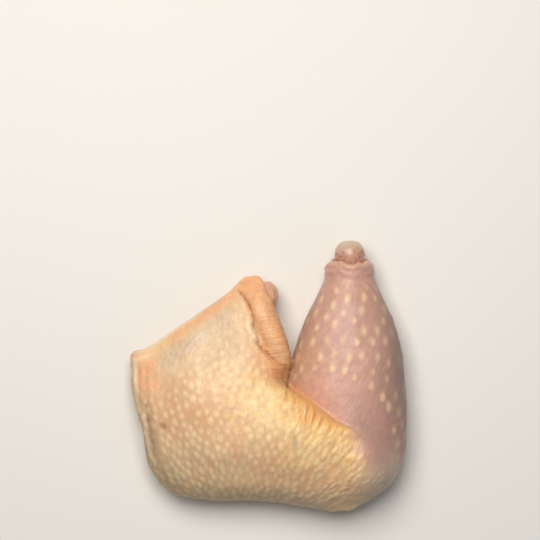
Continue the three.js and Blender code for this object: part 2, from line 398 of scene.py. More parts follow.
def rings(count: int, around: int) -> tuple[Array, Array]:
    """Gives the grid of a sphere without its poles.

    Args:
        count: Rings from pole to pole.
        around: Points round each ring.

    Returns:
        The angle from the first pole and the angle round the axis, both shaped (count, around).
    """
    tilt = np.linspace(0.0, math.pi, count + 2)[1:-1]
    turn = np.linspace(-math.pi, math.pi, around, endpoint=False)
    return np.meshgrid(tilt, turn, indexing="ij")


# --- forms of the leg -----------------------------------------------------------------------------


@dataclass(frozen=True)
class Mound:
    """A soft rise of the thigh's top: its place, its height and how far it spreads."""

    x: float
    y: float
    rise: float
    spread: float


@dataclass(frozen=True)
class Ridge:
    """A fold along the thigh's outline, at a share of the outline's distance."""

    share: float
    width: float
    height: float


@dataclass(frozen=True)
class Thigh:
    """The thigh: a flattened dome over its outline, measured round one centre."""

    centre: Point = (-2.0, -22.0)
    outline: tuple[Point, ...] = (
        (-65, 12.6), (-66.9, 4), (-67, -2.5), (-65.6, -10.6), (-63.2, -20), (-61.2, -29), (-59.8, -37),
        (-57, -45), (-52.4, -51.2), (-45.6, -55.8), (-31, -58.8), (-2.6, -59.7), (13, -61.4), (23.7, -63.2),
        (30, -64.6), (36.3, -64.8), (42.8, -63), (49, -60), (55.6, -55.2), (60.6, -50), (63, -45.4),
        (62.2, -38.6), (57.6, -31.4), (51.9, -26), (44.9, -23.8), (38.1, -21.2), (32.2, -17.9), (26.8, -14),
        (21.6, -10.2), (15.5, -6), (10.6, -2.8), (7.8, 1.2), (4.4, 6.4), (1.6, 13), (-1.2, 20), (-3.2, 27),
        (-4.8, 33), (-5.8, 40), (-6.6, 45), (-8.4, 48.4), (-12.6, 47.6), (-18.6, 42.6), (-25.4, 37.6),
        (-34.7, 31.2), (-44, 25.2), (-53.4, 18.4), (-60.2, 14),
    )  # fmt: skip
    mounds: tuple[Mound, ...] = (
        Mound(20, -24, 8.5, 27),
        Mound(42, -46, 4, 18),
        Mound(-28, -22, 5, 26),
        Mound(-26, 20, -3, 14),
        Mound(-62, 8, -9, 18),
        Mound(-9, 47, -5, 15),
        Mound(1, 7, -2.6, 10),
    )
    top_flatness: tuple[Point, ...] = (
        (-150, 2.6), (-90, 2.8), (-60, 3.2), (-40, 4), (-22, 5.5), (-8, 10), (50, 10), (95, 8), (125, 5),
        (150, 4), (170, 2.8),
    )  # fmt: skip
    side_ridges: tuple[Ridge, ...] = (
        Ridge(0.951, 0.018, 0.9),
        Ridge(0.853, 0.024, 0.7),
        Ridge(0.905, 0.011, 0.5),
        Ridge(0.8, 0.012, 0.25),
    )
    ridge_middle: float = 176.0
    ridge_half_span: float = 34.0
    base: float = 30.0
    widest: float = 13.0
    widest_left: float = -67.033
    sag: float = 1.6
    underside_flatness: float = 3.2
    cut_from: float = 102.0
    cut_to: float = 150.0
    cut_fade: float = 8.0
    skin_wrap: float = 12.0  # how far the skin runs in under the leg
    skin_recess: float = 4.2  # how deep the meat's bed is
    lip_inset: float = 6.4  # how far the bed steps back under the cut edge
    bed_step: float = 1.6  # distance over which the bed reaches its depth
    lip_span: Span = (0.004, 0.03)  # shares of the outline over which it steps back
    cut_span: Span = (0.01, 0.05)  # and over which it steps up at the cut side

    def turn(self, x: Array, y: Array) -> Array:
        """Gives the direction of a place from the centre, in radians."""
        return np.arctan2(y - self.centre[1], x - self.centre[0])

    def reach(self, turn: Array) -> Array:
        """Gives the outline's distance from the centre in each direction, in radians."""
        cx, cy = self.centre
        pairs = [(math.atan2(y - cy, x - cx), math.hypot(x - cx, y - cy)) for x, y in self.outline]
        return SmoothCurve.round_the_turn(pairs)(turn)

    def share(self, x: Array, y: Array) -> Array:
        """Gives a place's distance from the centre as a share of the outline's."""
        return np.hypot(x - self.centre[0], y - self.centre[1]) / self.reach(self.turn(x, y))

    def flatness(self, turn: Array) -> Array:
        """Gives how flat the top is in each direction: 2 is a plain ellipsoid."""
        pairs = [(math.radians(angle), value) for angle, value in self.top_flatness]
        return SmoothCurve.round_the_turn(pairs)(turn)

    def faces_cut(self, turn: Array) -> Array:
        """Gives how fully a direction faces the cut side, from 0 to 1."""
        into = smoothstep(turn, math.radians(self.cut_from - self.cut_fade), math.radians(self.cut_from))
        out = smoothstep(turn, math.radians(self.cut_to), math.radians(self.cut_to + self.cut_fade))
        return into * (1.0 - out)

    def crown(self, x: Array, y: Array) -> Array:
        """Gives the top's height before it rounds off: the base plus each mound's rise times its bell."""
        height = np.full(x.shape, self.base)
        for mound in self.mounds:
            height += mound.rise * bell(np.hypot(x - mound.x, y - mound.y), mound.spread)
        return height

    def top(self, x: Array, y: Array) -> Array:
        """Gives the upper skin's height: widest + (crown - widest) times sqrt(1 - share^flatness)."""
        share = np.minimum(self.share(x, y), 1.0)
        shoulder = np.sqrt(1.0 - share ** self.flatness(self.turn(x, y)))
        return self.widest + (self.crown(x, y) - self.widest) * shoulder

    def _ridges(self, turn: Array, share: Array) -> Array:
        """Gives how far the side folds stand out for a direction and a share of the outline's distance."""
        away = np.abs(np.degrees(turn) - self.ridge_middle)
        near = 1.0 - smoothstep(np.minimum(away, 360.0 - away) / self.ridge_half_span, 0.5, 1.0)
        wander = 0.006 * np.sin(3.0 * turn) + 0.004 * np.sin(11.0 * turn)
        return sum(near * r.height * bell(share + wander - r.share, r.width) for r in self.side_ridges)

    def wrap(self, turn: Array) -> Array:
        """Gives how far in from the outline the skin's edge lies underneath, with an uneven run."""
        uneven = 1.0 + 0.22 * np.sin(5.0 * turn + 1.0) + 0.12 * np.sin(11.0 * turn)
        uneven += 0.06 * np.sin(23.0 * turn)
        return self.skin_wrap * uneven * (1.0 - self.faces_cut(turn))

    def shell(self, around: int = 760, top_rows: int = 150, under_rows: int = 90) -> Shell:
        """Makes the thigh's closed skin, with a bed underneath for the meat.

        On the upper side a point lies at share * reach, share = sin(row), and at the top's height. On the
        lower side it lies at widest - (widest + sag) * sqrt(1 - share^flatness), steps up into the meat's bed
        within the skin's edge, and steps back under the lip of the cut side.

        Args:
            around: Points round each ring.
            top_rows: Rings from the middle of the top to the outline.
            under_rows: Rings from the outline to the middle of the underside.

        Returns:
            The closed surface.
        """
        turn = np.linspace(-math.pi, math.pi, around, endpoint=False)
        reach, faces_cut = self.reach(turn), self.faces_cut(turn)

        share = np.sin(0.5 * math.pi * np.arange(1, top_rows + 1) / top_rows)[:, None]
        fold = math.sqrt(0.5) * self._ridges(turn, share)
        away = reach * share + fold
        x, y = self.centre[0] + away * np.cos(turn), self.centre[1] + away * np.sin(turn)
        shoulder = np.sqrt(1.0 - share ** self.flatness(turn))
        upper = np.stack([x, y, self.widest + (self.crown(x, y) - self.widest) * shoulder + fold], -1)

        share = np.sin(0.5 * math.pi * np.arange(under_rows - 1, 0, -1) / under_rows)[:, None]
        away = (reach - self.lip_inset * faces_cut * smoothstep(1.0 - share, *self.lip_span)) * share
        drop = np.sqrt(1.0 - share**self.underside_flatness)
        bed = smoothstep(reach * (1.0 - share) - self.wrap(turn), 0.0, self.bed_step)
        bed = np.maximum(bed, faces_cut * smoothstep(1.0 - share, *self.cut_span))
        z = self.widest - (self.widest + self.sag) * drop + (self.skin_recess + self.sag) * bed * drop
        x, y = self.centre[0] + away * np.cos(turn), self.centre[1] + away * np.sin(turn)
        lower = np.stack([x, y, z], -1)

        crown = self.crown(*np.array(self.centre)[:, None])[0]
        top, bottom = (np.array([*self.centre, height]) for height in (crown, self.skin_recess))
        return Shell.from_rows(top, np.vstack([upper, lower]), bottom)


@dataclass(frozen=True)
class Station:
    """One cross-section of the drumstick."""

    y: float
    x: float
    half_width: float
    low: float
    high: float


@dataclass(frozen=True)
class Drumstick:
    """The drumstick: oval cross-sections from the knee to the hock, rounded off at both ends."""

    knee: float = -60.0
    hock: float = 60.4
    stations: tuple[Station, ...] = (
        Station(-57, 41.6, 8.4, 6, 22.6),
        Station(-52.5, 43.4, 13.8, 3, 28.2),
        Station(-46.6, 44.4, 18.2, 0.6, 31.6),
        Station(-40, 43.8, 21.8, -1, 33.2),
        Station(-24.1, 41.4, 26.1, -1.6, 34.2),
        Station(-11.4, 39.3, 28, -1.6, 33.6),
        Station(-3.5, 38.5, 28.4, -1.4, 33.2),
        Station(4.4, 38.6, 27.7, -1.2, 32.6),
        Station(17, 39, 25.2, -0.4, 31),
        Station(31, 39.4, 20.5, 0.8, 28.6),
        Station(42, 39.7, 15.2, 2.4, 25.6),
        Station(49.5, 39.8, 12, 3.2, 23.6),
        Station(55.4, 39.8, 10.8, 3.2, 23.2),
    )

    def _along(self, values: list[float], y: Array, is_size: bool) -> Array:
        """Reads a station value along the drumstick. A size is kept divided by the round of the two ends."""
        middle, half = (self.hock + self.knee) / 2.0, (self.hock - self.knee) / 2.0
        rounds = [math.sqrt(1.0 - ((s.y - middle) / half) ** 2) if is_size else 1.0 for s in self.stations]
        pairs = [(s.y, value / r) for s, value, r in zip(self.stations, values, rounds)]
        return SmoothCurve.through(pairs)(y)

    def section(self, y: Array) -> tuple[Array, Array, Array, Array]:
        """Gives the middle X, the middle height, the half width and the half height at each Y."""
        return (
            self._along([s.x for s in self.stations], y, False),
            self._along([(s.low + s.high) / 2.0 for s in self.stations], y, False),
            self._along([s.half_width for s in self.stations], y, True),
            self._along([(s.high - s.low) / 2.0 for s in self.stations], y, True),
        )

    def along(self, y: Array) -> Array:
        """Maps Y to -1 at the knee and 1 at the hock."""
        return (2.0 * y - self.knee - self.hock) / (self.hock - self.knee)

    def top(self, x: Array, y: Array) -> Array:
        """Gives the upper side's height: level + half height * sqrt(1 - along² - across²)."""
        middle, level, half_width, half_height = self.section(y)
        inside = 1.0 - self.along(y) ** 2 - ((x - middle) / half_width) ** 2
        return level + half_height * np.sqrt(np.maximum(inside, 0.0))

    def fullness(self, points: Array) -> Array:
        """Gives along² + across² + up², which is 1 on the drumstick's surface."""
        x, y, z = points.T
        middle, level, half_width, half_height = self.section(y)
        return self.along(y) ** 2 + ((x - middle) / half_width) ** 2 + ((z - level) / half_height) ** 2

    def shell(self) -> Shell:
        """Makes the closed drumstick: ovals whose size follows the stations and the two round ends."""
        tilt, turn = rings(260, 300)
        y = (self.knee + self.hock) / 2.0 - (self.hock - self.knee) / 2.0 * np.cos(tilt)
        middle, level, half_width, half_height = self.section(y)
        x = middle + half_width * np.sin(tilt) * np.cos(turn)
        z = level + half_height * np.sin(tilt) * np.sin(turn)
        ends = np.array([self.knee, self.hock])
        middle, level, _, _ = self.section(ends)
        first, last = np.stack([middle, ends, level], -1)
        return Shell.from_rows(first, np.stack([x, y, z], -1), last)


@dataclass(frozen=True)
class FlapRoll:
    """The roll of skin along the flap's edge: a bead under the line of its crest, drawn in at both ends."""

    crest: tuple[Triple, ...] = (
        (-5.6, 50.6, 23.6), (-5.6, 42, 28.2), (-3.4, 34, 30.4), (-0.8, 27, 31), (3, 18.5, 31.4),
        (5.5, 11, 30.2), (6.2, 4, 27), (6.4, -4, 22),
    )  # fmt: skip
    half_widths: Span = (7.4, 5.8)  # at the flap's tip and at the roll's foot
    half_height: float = 9.0
    bluntness: float = 0.4  # below 1, the two ends are blunter than an ellipsoid's
    look_ahead: float = 0.01  # share of the crest over which its direction is taken

    def line(self) -> PlanLine:
        """Gives the crest as seen from above."""
        return PlanLine(tuple((x, y) for x, y, _ in self.crest))

    def shell(self) -> Shell:
        """Makes the closed bead: rings across the crest, of radius sin(tilt)^bluntness, hung below it."""
        tilt, turn = rings(220, 120)
        crest = np.array(self.crest, float)
        step = np.concatenate([[0.0], np.cumsum(np.linalg.norm(np.diff(crest, axis=0), axis=1))])
        share = tilt / math.pi
        path = [SmoothCurve(step / step[-1], crest[:, k]) for k in range(3)]
        place = np.stack([curve(share) for curve in path], -1)
        after, before = np.minimum(share + self.look_ahead, 1.0), share - self.look_ahead
        ahead = np.stack([curve(after) - curve(before) for curve in path], -1)
        side = np.stack([-ahead[..., 1], ahead[..., 0], np.zeros_like(share)], -1)
        side /= np.linalg.norm(side, axis=-1, keepdims=True)
        radius = np.sin(tilt) ** self.bluntness
        across = (radius * np.cos(turn) * blend(share, *self.half_widths))[..., None]
        up = (radius * np.sin(turn) - 1.0) * self.half_height
        points = place + side * across
        points[..., 2] += up
        ends = [np.array([*crest[i, :2], crest[i, 2] - self.half_height]) for i in (0, -1)]
        return Shell.from_rows(ends[0], points, ends[1])


@dataclass(frozen=True)
class Knee:
    """One skin runs over thigh and drumstick at the knee, so the valley between them is filled near it."""

    x: float = 55.0
    y: float = -46.0
    reach: float = 28.0
    fill: float = 14.0
    crease_fill: float = 5.5
    crease_spread: float = 4.5
    fade: float = 8.0  # height above the widest level at which the fill is full

    def width(self, x: Array, y: Array) -> Array:
        """Gives the width of the soft maximum, full near the knee and none beyond its reach."""
        away = np.hypot(x - self.x, y - self.y) / self.reach
        return self.fill * (1.0 - smoothstep(away, 0.3, 1.0))

    def rise(self, points: Array, thigh: Thigh, drumstick: Drumstick, crease: PlanLine) -> Array:
        """Gives how far up each point goes: overlap² / (4 * width) where the two tops are close.

        Args:
            points: Places in millimetres.
            thigh: The thigh.
            drumstick: The drumstick.
            crease: The line where the two meet, which is filled a little too.

        Returns:
            The rise in millimetres, faded out below the leg's widest level.
        """
        x, y, z = points.T
        away, along = crease.measure(x, y)
        by_crease = self.crease_fill * bell(away, self.crease_spread) * smoothstep(along, 1.0, 6.0)
        width = np.maximum(self.width(x, y), by_crease)
        overlap = np.maximum(width - np.abs(thigh.top(x, y) - drumstick.top(x, y)), 0.0)
        rise = np.where(width > 0.0, overlap**2 / np.maximum(4.0 * width, 1e-6), 0.0)
        return rise * smoothstep(z, thigh.widest, thigh.widest + self.fade)


@dataclass(frozen=True)
class Pleats:
    """The gathered skin of the thigh beside the drumstick: a few soft folds and a fan of fine streaks."""

    focus: Point = (-11.0, -108.0)  # the streaks run away from here
    grooves: tuple[PlanLine, ...] = (
        PlanLine(((9.6, -4.6), (8.8, -9), (7.6, -13.5))),
        PlanLine(((13.6, -7.6), (12.4, -13), (10.4, -19.6))),
        PlanLine(((16.6, -13), (15.6, -18), (14.2, -23))),
        PlanLine(((19.8, -11), (18.8, -20), (17.0, -28.5))),
        PlanLine(((23.6, -14.6), (22.6, -19), (20.8, -23.6))),
        PlanLine(((27.0, -17.4), (25.4, -22), (23.2, -26.4))),
        PlanLine(((31.0, -21.0), (29.4, -25), (26.6, -29.6))),
    )
    groove_depth: float = 0.42
    groove_width: float = 0.75
    broad: tuple[Patch, ...] = (Patch(18, -15, 15, 8, -40), Patch(12, -16, 8, 10))
    fine: tuple[Patch, ...] = (
        Patch(33, -28, 15, 7, -36), Patch(42, -38, 9, 12, -30), Patch(36, -50, 14, 9, 10, 0.6),
    )  # fmt: skip
    broad_height: float = 0.34
    fine_height: float = 0.27
    broad_cell: Span = (2.3, 7.0)  # across and along the streaks
    fine_cell: Span = (1.3, 3.4)
    bank_height: float = 0.3

    def fan(self, x: Array, y: Array) -> tuple[Array, Array]:
        """Gives how far across the streaks a place lies, as an arc of 100 mm, and how far out."""
        dx, dy = x - self.focus[0], y - self.focus[1]
        return 100.0 * np.arctan2(dx, dy), np.hypot(dx, dy)

    def relief(self, points: Array, on_thigh: Array) -> tuple[Array, Array]:
        """Works out the relief.

        The broad and fine streaks are noise drawn out along the fan. Each fold is a bell across its line,
        drawn in at both ends.

        Args:
            points: Places in millimetres.
            on_thigh: How far each place belongs to the thigh's top.

        Returns:
            The height in millimetres and the valleys' share from 0 to 1.
        """
        x, y, _ = points.T
        across, out = self.fan(x, y)
        flat = np.stack([across, out, 0.0 * out], -1)
        flat[:, 0] += 0.9 * SoftNoise(41, 9.0).at(flat)
        broad = SoftNoise(42, 1.0, 2).at(flat / (*self.broad_cell, 1.0))
        fine = SoftNoise(43, 1.0, 2).at(flat / (*self.fine_cell, 1.0))
        height = self.broad_height * broad * patched(self.broad, x, y)
        height += self.fine_height * fine * patched(self.fine, x, y)
        valley = np.clip(-0.9 * height / self.broad_height, 0.0, 0.7)
        for groove in self.grooves:
            away, along = groove.measure(x, y)
            length = sum(math.dist(a, b) for a, b in zip(groove.points[:-1], groove.points[1:]))
            ends = smoothstep(along / length, 0.0, 0.15) * (1.0 - smoothstep(along / length, 0.45, 1.0))
            fold = ends * bell(away, self.groove_width)
            height -= self.groove_depth * fold - self.bank_height * ends * bell(np.abs(away) - 1.7, 0.9)
            valley = np.maximum(valley, fold)
        return height * on_thigh, np.clip(valley, 0.0, 1.0) * on_thigh


@dataclass(frozen=True)
class Follicles:
    """Raised feather follicles, set out over the skin at an even pitch."""

    seed: int = 17
    thigh_pitch: float = 4.0
    drumstick_pitch: float = 6.3
    thigh_half: Span = (1.95, 1.45)  # along and across the feather
    drumstick_half: Span = (2.45, 1.5)
    thigh_height: float = 0.34
    drumstick_height: float = 0.34
    sizes: Span = (0.78, 1.18)  # least and most, as a share of the half sizes
    heights: Span = (0.5, 1.15)
    jitter: float = 0.22  # share of the pitch by which the choice of the next place varies
    least: float = 0.12  # how strongly a place must be allowed before it carries one
    roundness: float = 1.1
    rows: tuple[Point, ...] = (
        (31.2, 6.1), (37.2, 4.3), (42.3, 1), (49.8, -3.2), (55.3, -8.7), (58.8, -13.4), (63.6, -16.2),
        (60.6, -25), (62.6, -31.4), (31.7, 12.6), (39.6, 10.3), (46, 11.7), (53, 11.2), (50.6, 3.7),
        (43.3, 17.7), (50.7, 18), (24.4, 11.6), (15.6, 5), (12.4, 0.6), (57.4, 0.4), (61.6, -7.6),
        (36.2, 18.6), (28.4, 19.4),
    )  # fmt: skip

    def settle(self, points: Array, pitch: Array) -> Array:
        """Sets the drumstick's first rows, then more, each as near to the others as the pitch allows.

        Args:
            points: The places that may carry one.
            pitch: The least distance to the next one, at each place.

        Returns:
            The indices of the chosen places.
        """
        jitter = np.random.default_rng(self.seed).uniform(0.0, self.jitter, len(points))
        nearest = np.full(len(points), np.inf)
        low = np.where(points[:, 2] < 14.0, 50.0, 0.0)
        first = [int(np.argmin(np.hypot(points[:, 0] - x, points[:, 1] - y) + low)) for x, y in self.rows]
        chosen: list[int] = []
        following = 0
        while True:
            chosen.append(first.pop() if first else following)
            offset = points - points[chosen[-1]]
            nearest = np.minimum(nearest, np.sqrt(np.einsum("ij,ij->i", offset, offset)) / pitch)
            free = np.where(nearest >= 1.0, nearest + jitter, np.inf)
            following = int(np.argmin(free))
            if not first and not np.isfinite(free[following]):
                return np.array(chosen)

    @staticmethod
    def nearest(points: Array, centres: Array) -> Array:
        """Finds the index of the centre nearest to each point, in blocks of about 4000 points."""
        squares = np.einsum("ij,ij->i", centres, centres)
        blocks = np.array_split(points, max(1, len(points) // 4000))
        return np.concatenate([np.argmin(squares - 2.0 * block @ centres.T, axis=1) for block in blocks])

    def raised(
        self, shell: Shell, allowed: Array, drum: Array, lean: Array, drawn: Array
    ) -> tuple[Array, Array, Array]:
        """Works out the bumps.

        A bump's height falls off as exp(-q^roundness), where q is (u / half length)² + (v / half width)².

        Args:
            shell: The skin.
            allowed: How strongly each point of it may be raised, from 0 to 1.
            drum: How far each point belongs to the drumstick.
            lean: The direction in which the feathers lay at each point.
            drawn: How much the bumps are drawn out along it at each point, from 0 to 1.

        Returns:
            The height in millimetres, the bump's share from 0 to 1, and the place along and across it.
        """
        points, normals = shell.points, shell.normals()
        pool = np.flatnonzero(allowed > self.least)[::2]
        pitch = blend(drum[pool], self.thigh_pitch - 0.8 * drawn[pool], self.drumstick_pitch)
        pitch *= 1.0 + 0.25 * SoftNoise(33, 8.0).at(points[pool])
        picked = pool[self.settle(points[pool], pitch)]
        rng = np.random.default_rng(self.seed + 1)
        size = rng.uniform(*self.sizes, len(picked))
        height = rng.uniform(*self.heights, len(picked))
        upright = np.einsum("ij,ij->i", lean[picked], normals[picked])[:, None]
        heading = lean[picked] - normals[picked] * upright
        heading /= np.maximum(np.linalg.norm(heading, axis=1, keepdims=True), 1e-9)

        owner = self.nearest(points, points[picked])
        offset = points - points[picked][owner]
        u = np.einsum("ij,ij->i", offset, heading[owner])
        v = np.einsum("ij,ij->i", offset, np.cross(normals[picked], heading)[owner])
        deep = np.einsum("ij,ij->i", offset, normals[picked][owner])
        owned = drum[picked][owner]
        pull = 1.0 + 0.35 * drawn[picked][owner] * (1.0 - owned)
        half_u = blend(owned, self.thigh_half[0], self.drumstick_half[0]) * size[owner] * pull
        half_v = blend(owned, self.thigh_half[1], self.drumstick_half[1]) * size[owner] / pull
        q = (u / half_u) ** 2 + (v / half_v) ** 2 + (deep / half_v / 2.0) ** 2
        share = np.exp(-(q**self.roundness)) * np.clip(allowed, 0, 1)
        share *= smoothstep(allowed[picked][owner], 0.1, 0.5)
        rise = blend(owned, self.thigh_height, self.drumstick_height) * height[owner] * share
        log.info("follicles: %d", len(picked))
        return rise, share * blend(owned, height[owner] ** 0.6, 1.0), np.stack([u, v], -1)


# --- placing pieces -------------------------------------------------------------------------------


@dataclass(frozen=True)
class Placing:
    """Where the leg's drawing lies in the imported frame: a shift in millimetres."""

    shift: Array

    @classmethod
    def onto_frame(cls, widest_left: float, hock_end: float) -> "Placing":
        """Finds the shift that brings the thigh's outer side and the hock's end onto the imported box."""
        low, high = (np.array(corner) / MM for corner in CAD_BOX)
        return cls(np.array([low[0] - widest_left, high[1] - hock_end, 0.0]))

    def piece(self, name: str, shell: Shell, material: bpy.types.Material) -> bpy.types.Object:
        """Makes a finished piece of the leg.

        Args:
            name: The piece's name.
            shell: Its surface on the drawing.
            material: Its material.

        Returns:
            The object, which rides on the leg's one body and stands for its solid.
        """
        thing = put(name, mesh_of(name, shell, MM, self.shift))
        thing.data.materials.append(material)
        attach(thing, "root")
        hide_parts("leg_quarter")
        log.info("%s: %d triangles", name, len(shell.triangles))
        return thing


def mark(mesh: bpy.types.Mesh, name: str, values: Array) -> None:
    """Stores a value, or a triple of values, at every point of a mesh for its material to read."""
    if values.ndim == 1:
        mesh.attributes.new(name, "FLOAT", "POINT").data.foreach_set("value", values.astype(np.float32))
    else:
        layer = mesh.attributes.new(name, "FLOAT_VECTOR", "POINT")
        layer.data.foreach_set("vector", values.astype(np.float32).ravel())


# --- materials ------------------------------------------------------------------------------------


def colour(code: str) -> tuple[float, float, float, float]:
    """Turns a screen colour such as "e4b98c" into linear red, green and blue, with full alpha."""
    parts = [int(code[i : i + 2], 16) / 255.0 for i in (0, 2, 4)]
    linear = [p / 12.92 if p <= 0.04045 else ((p + 0.055) / 1.055) ** 2.4 for p in parts]
    return (*linear, 1.0)


class Bench:
    """A workbench for one node tree: puts nodes down and joins them."""

    def __init__(self, tree: bpy.types.NodeTree) -> None:
        """Starts on a tree."""
        self.tree = tree

    def node(self, kind: str, **settings: object) -> bpy.types.Node:
        """Puts down a node and sets its properties."""
        node = self.tree.nodes.new(kind)
        for name, value in settings.items():
            setattr(node, name, value)
        return node

    def feed(self, socket: Socket, value: object) -> None:
        """Joins a socket to another, or sets its own value."""
        if isinstance(value, Socket):
            self.tree.links.new(value, socket)
        else:
            socket.default_value = value

    def feed_all(self, node: bpy.types.Node, values: dict[str, object]) -> None:
        """Feeds several inputs of a node by name."""
        for name, value in values.items():
            self.feed(node.inputs[name], value)

    def math(self, operation: str, *numbers: object, clamp: bool = False) -> Socket:
        """Works out an operation on one, two or three numbers."""
        node = self.node("ShaderNodeMath", operation=operation, use_clamp=clamp)
        for socket, number in zip(node.inputs, numbers):
            self.feed(socket, number)
        return node.outputs[0]

    def product(self, first: object, *factors: object) -> Socket:
        """Multiplies numbers."""
        for factor in factors:
            first = self.math("MULTIPLY", first, factor)
        return first

    def mix(self, share: object, first: object, second: object, kind: str = "MIX") -> Socket:
        """Mixes two colours by a share."""
        node = self.node("ShaderNodeMix", data_type="RGBA", blend_type=kind, clamp_factor=True)
        for index, value in ((0, share), (6, first), (7, second)):
            self.feed(node.inputs[index], value)
        return node.outputs[2]

    def grey(self, value: object) -> Socket:
        """Makes a grey of a number."""
        node = self.node("ShaderNodeCombineColor")
        for socket in node.inputs[:3]:
            self.feed(socket, value)
        return node.outputs[0]

    def range(self, value: object, low: float, high: float, to: Span = (0.0, 1.0)) -> Socket:
        """Maps a value smoothly from low..high onto the two numbers in to."""
        node = self.node("ShaderNodeMapRange", interpolation_type="SMOOTHSTEP")
        for socket, number in zip(node.inputs[:5], (value, low, high, *to)):
            self.feed(socket, number)
        return node.outputs[0]

    def attribute(self, name: str, vector: bool = False) -> Socket:
        """Reads a value, or a vector, stored at the mesh's points."""
        node = self.node("ShaderNodeAttribute", attribute_name=name)
        return node.outputs["Vector"] if vector else node.outputs["Fac"]

    def place(self) -> Socket:
        """Reads the place on the object."""
        return self.node("ShaderNodeTexCoord").outputs["Object"]

    def stretched(self, vector: object, scale: Triple, turn: float = 0.0) -> Socket:
        """Turns a vector about Z by some degrees and then scales its parts."""
        turned, scaled = self.node("ShaderNodeMapping"), self.node("ShaderNodeMapping")
        self.feed_all(turned, {"Vector": vector, "Rotation": (0.0, 0.0, math.radians(turn))})
        self.feed_all(scaled, {"Vector": turned.outputs[0], "Scale": scale})
        return scaled.outputs[0]

    def noise(
        self, vector: object, scale: object, detail: float = 2.0, rough: float = 0.5, twist: float = 0.0
    ) -> Socket:
        """Reads noise about 0.5."""
        node = self.node("ShaderNodeTexNoise")
        self.feed_all(node, {"Vector": vector, "Scale": scale, "Detail": detail})
        self.feed_all(node, {"Roughness": rough, "Distortion": twist})
        return node.outputs["Fac"]

    def cells(self, vector: object, scale: object, feature: str) -> Socket:
        """Reads the distance in a pattern of cells."""
        node = self.node("ShaderNodeTexVoronoi", feature=feature)
        self.feed_all(node, {"Vector": vector, "Scale": scale})
        return node.outputs["Distance"]

    def group(self, tree: bpy.types.NodeTree, **values: object) -> dict[str, Socket]:
        """Puts down a shared group, feeds its inputs by name and gives its outputs by name."""
        node = self.node("ShaderNodeGroup", node_tree=tree)
        self.feed_all(node, values)
        return {socket.name: socket for socket in node.outputs}

    def bumped(self, height: object, distance: float, normal: object = None) -> Socket:
        """Turns a height into a normal. The distance is in metres."""
        node = self.node("ShaderNodeBump")
        self.feed_all(node, {"Distance": distance, "Height": height})
        if normal is not None:
            self.feed(node.inputs["Normal"], normal)
        return node.outputs[0]


def shared_group(name: str, inputs: dict[str, float], outputs: tuple[str, ...]) -> tuple[Bench, dict, dict]:
    """Starts a node group with named number sockets and one vector input named Place.

    Args:
        name: The group's name.
        inputs: Its number inputs and their usual values.
        outputs: Its number outputs.

    Returns:
        The bench to build it on, its inputs by name, and its output sockets by name.
    """
    tree = bpy.data.node_groups.new(name, "ShaderNodeTree")
    tree.interface.new_socket("Place", in_out="INPUT", socket_type="NodeSocketVector")
    for socket, value in inputs.items():
        item = tree.interface.new_socket(socket, in_out="INPUT", socket_type="NodeSocketFloat")
        item.default_value = value
    for socket in outputs:
        tree.interface.new_socket(socket, in_out="OUTPUT", socket_type="NodeSocketFloat")
    bench = Bench(tree)
    start, end = bench.node("NodeGroupInput"), bench.node("NodeGroupOutput")
    return bench, {s.name: s for s in start.outputs}, {s.name: s for s in end.inputs}


class SharedEffects:
    """The effects that all parts share: uneven colour, and the film of moisture on meat and skin."""

    def __init__(self) -> None:
        """Builds both groups."""
        self.mottle = self._mottle()
        self.moisture = self._moisture()

    @staticmethod
    def _mottle() -> bpy.types.NodeTree:
        """Builds uneven colour: broad clouds and small flecks, each from 0 to 1."""
        bench, given, gives = shared_group("mottle", {"Broad": 70.0, "Small": 320.0}, ("Clouds", "Flecks"))
        for name, scale, low, high in (("Clouds", "Broad", 0.36, 0.64), ("Flecks", "Small", 0.34, 0.68)):
            noise = bench.noise(given["Place"], given[scale], 3.0, twist=0.4)
            bench.feed(gives[name], bench.range(noise, low, high))
        return bench.tree

    @staticmethod
    def _moisture() -> bpy.types.NodeTree:
        """Builds the moist film: where it is smooth or dull, and the fine grain that breaks its shine."""
        bench, given, gives = shared_group(
            "moisture", {"Dull": 0.55, "Smooth": 0.32, "Grain": 1500.0}, ("Roughness", "Height")
        )
        pools = bench.range(bench.noise(given["Place"], 110.0, 3.0, 0.55, 0.6), 0.35, 0.66)
        span = bench.math("SUBTRACT", given["Dull"], given["Smooth"])
        bench.feed(gives["Roughness"], bench.math("MULTIPLY_ADD", span, pools, given["Smooth"]))
        bench.feed(gives["Height"], bench.noise(given["Place"], given["Grain"], 3.0))
        return bench.tree


@dataclass(frozen=True)
class Flesh:
    """The constants of a soft, moist surface."""

    soft: float = 0.2
    soft_radius: Triple = (1.0, 0.5, 0.3)
    soft_depth: float = 0.0022
    wet: float = 0.25
    wet_roughness: float = 0.16

    def cover(self, bench: Bench, tone: Socket, roughness: Socket, normal: Socket) -> None:
        """Puts down the surface shader, with its constants on its own sockets, and joins it to the output."""
        shader = bench.node("ShaderNodeBsdfPrincipled")
        depths = {"Subsurface Radius": self.soft_radius, "Subsurface Scale": self.soft_depth}
        coat = {"Coat Weight": self.wet, "Coat Roughness": self.wet_roughness}
        bench.feed_all(shader, {"Subsurface Weight": self.soft} | depths | coat)
        bench.feed_all(shader, {"Base Color": tone, "Roughness": roughness, "Normal": normal})
        bench.feed(bench.node("ShaderNodeOutputMaterial").inputs["Surface"], shader.outputs[0])


def blank_material(name: str) -> tuple[bpy.types.Material, Bench]:
    """Makes an empty node material and its bench."""
    material = bpy.data.materials.new(name)
    material.use_nodes = True
    material.node_tree.nodes.clear()
    return material, Bench(material.node_tree)


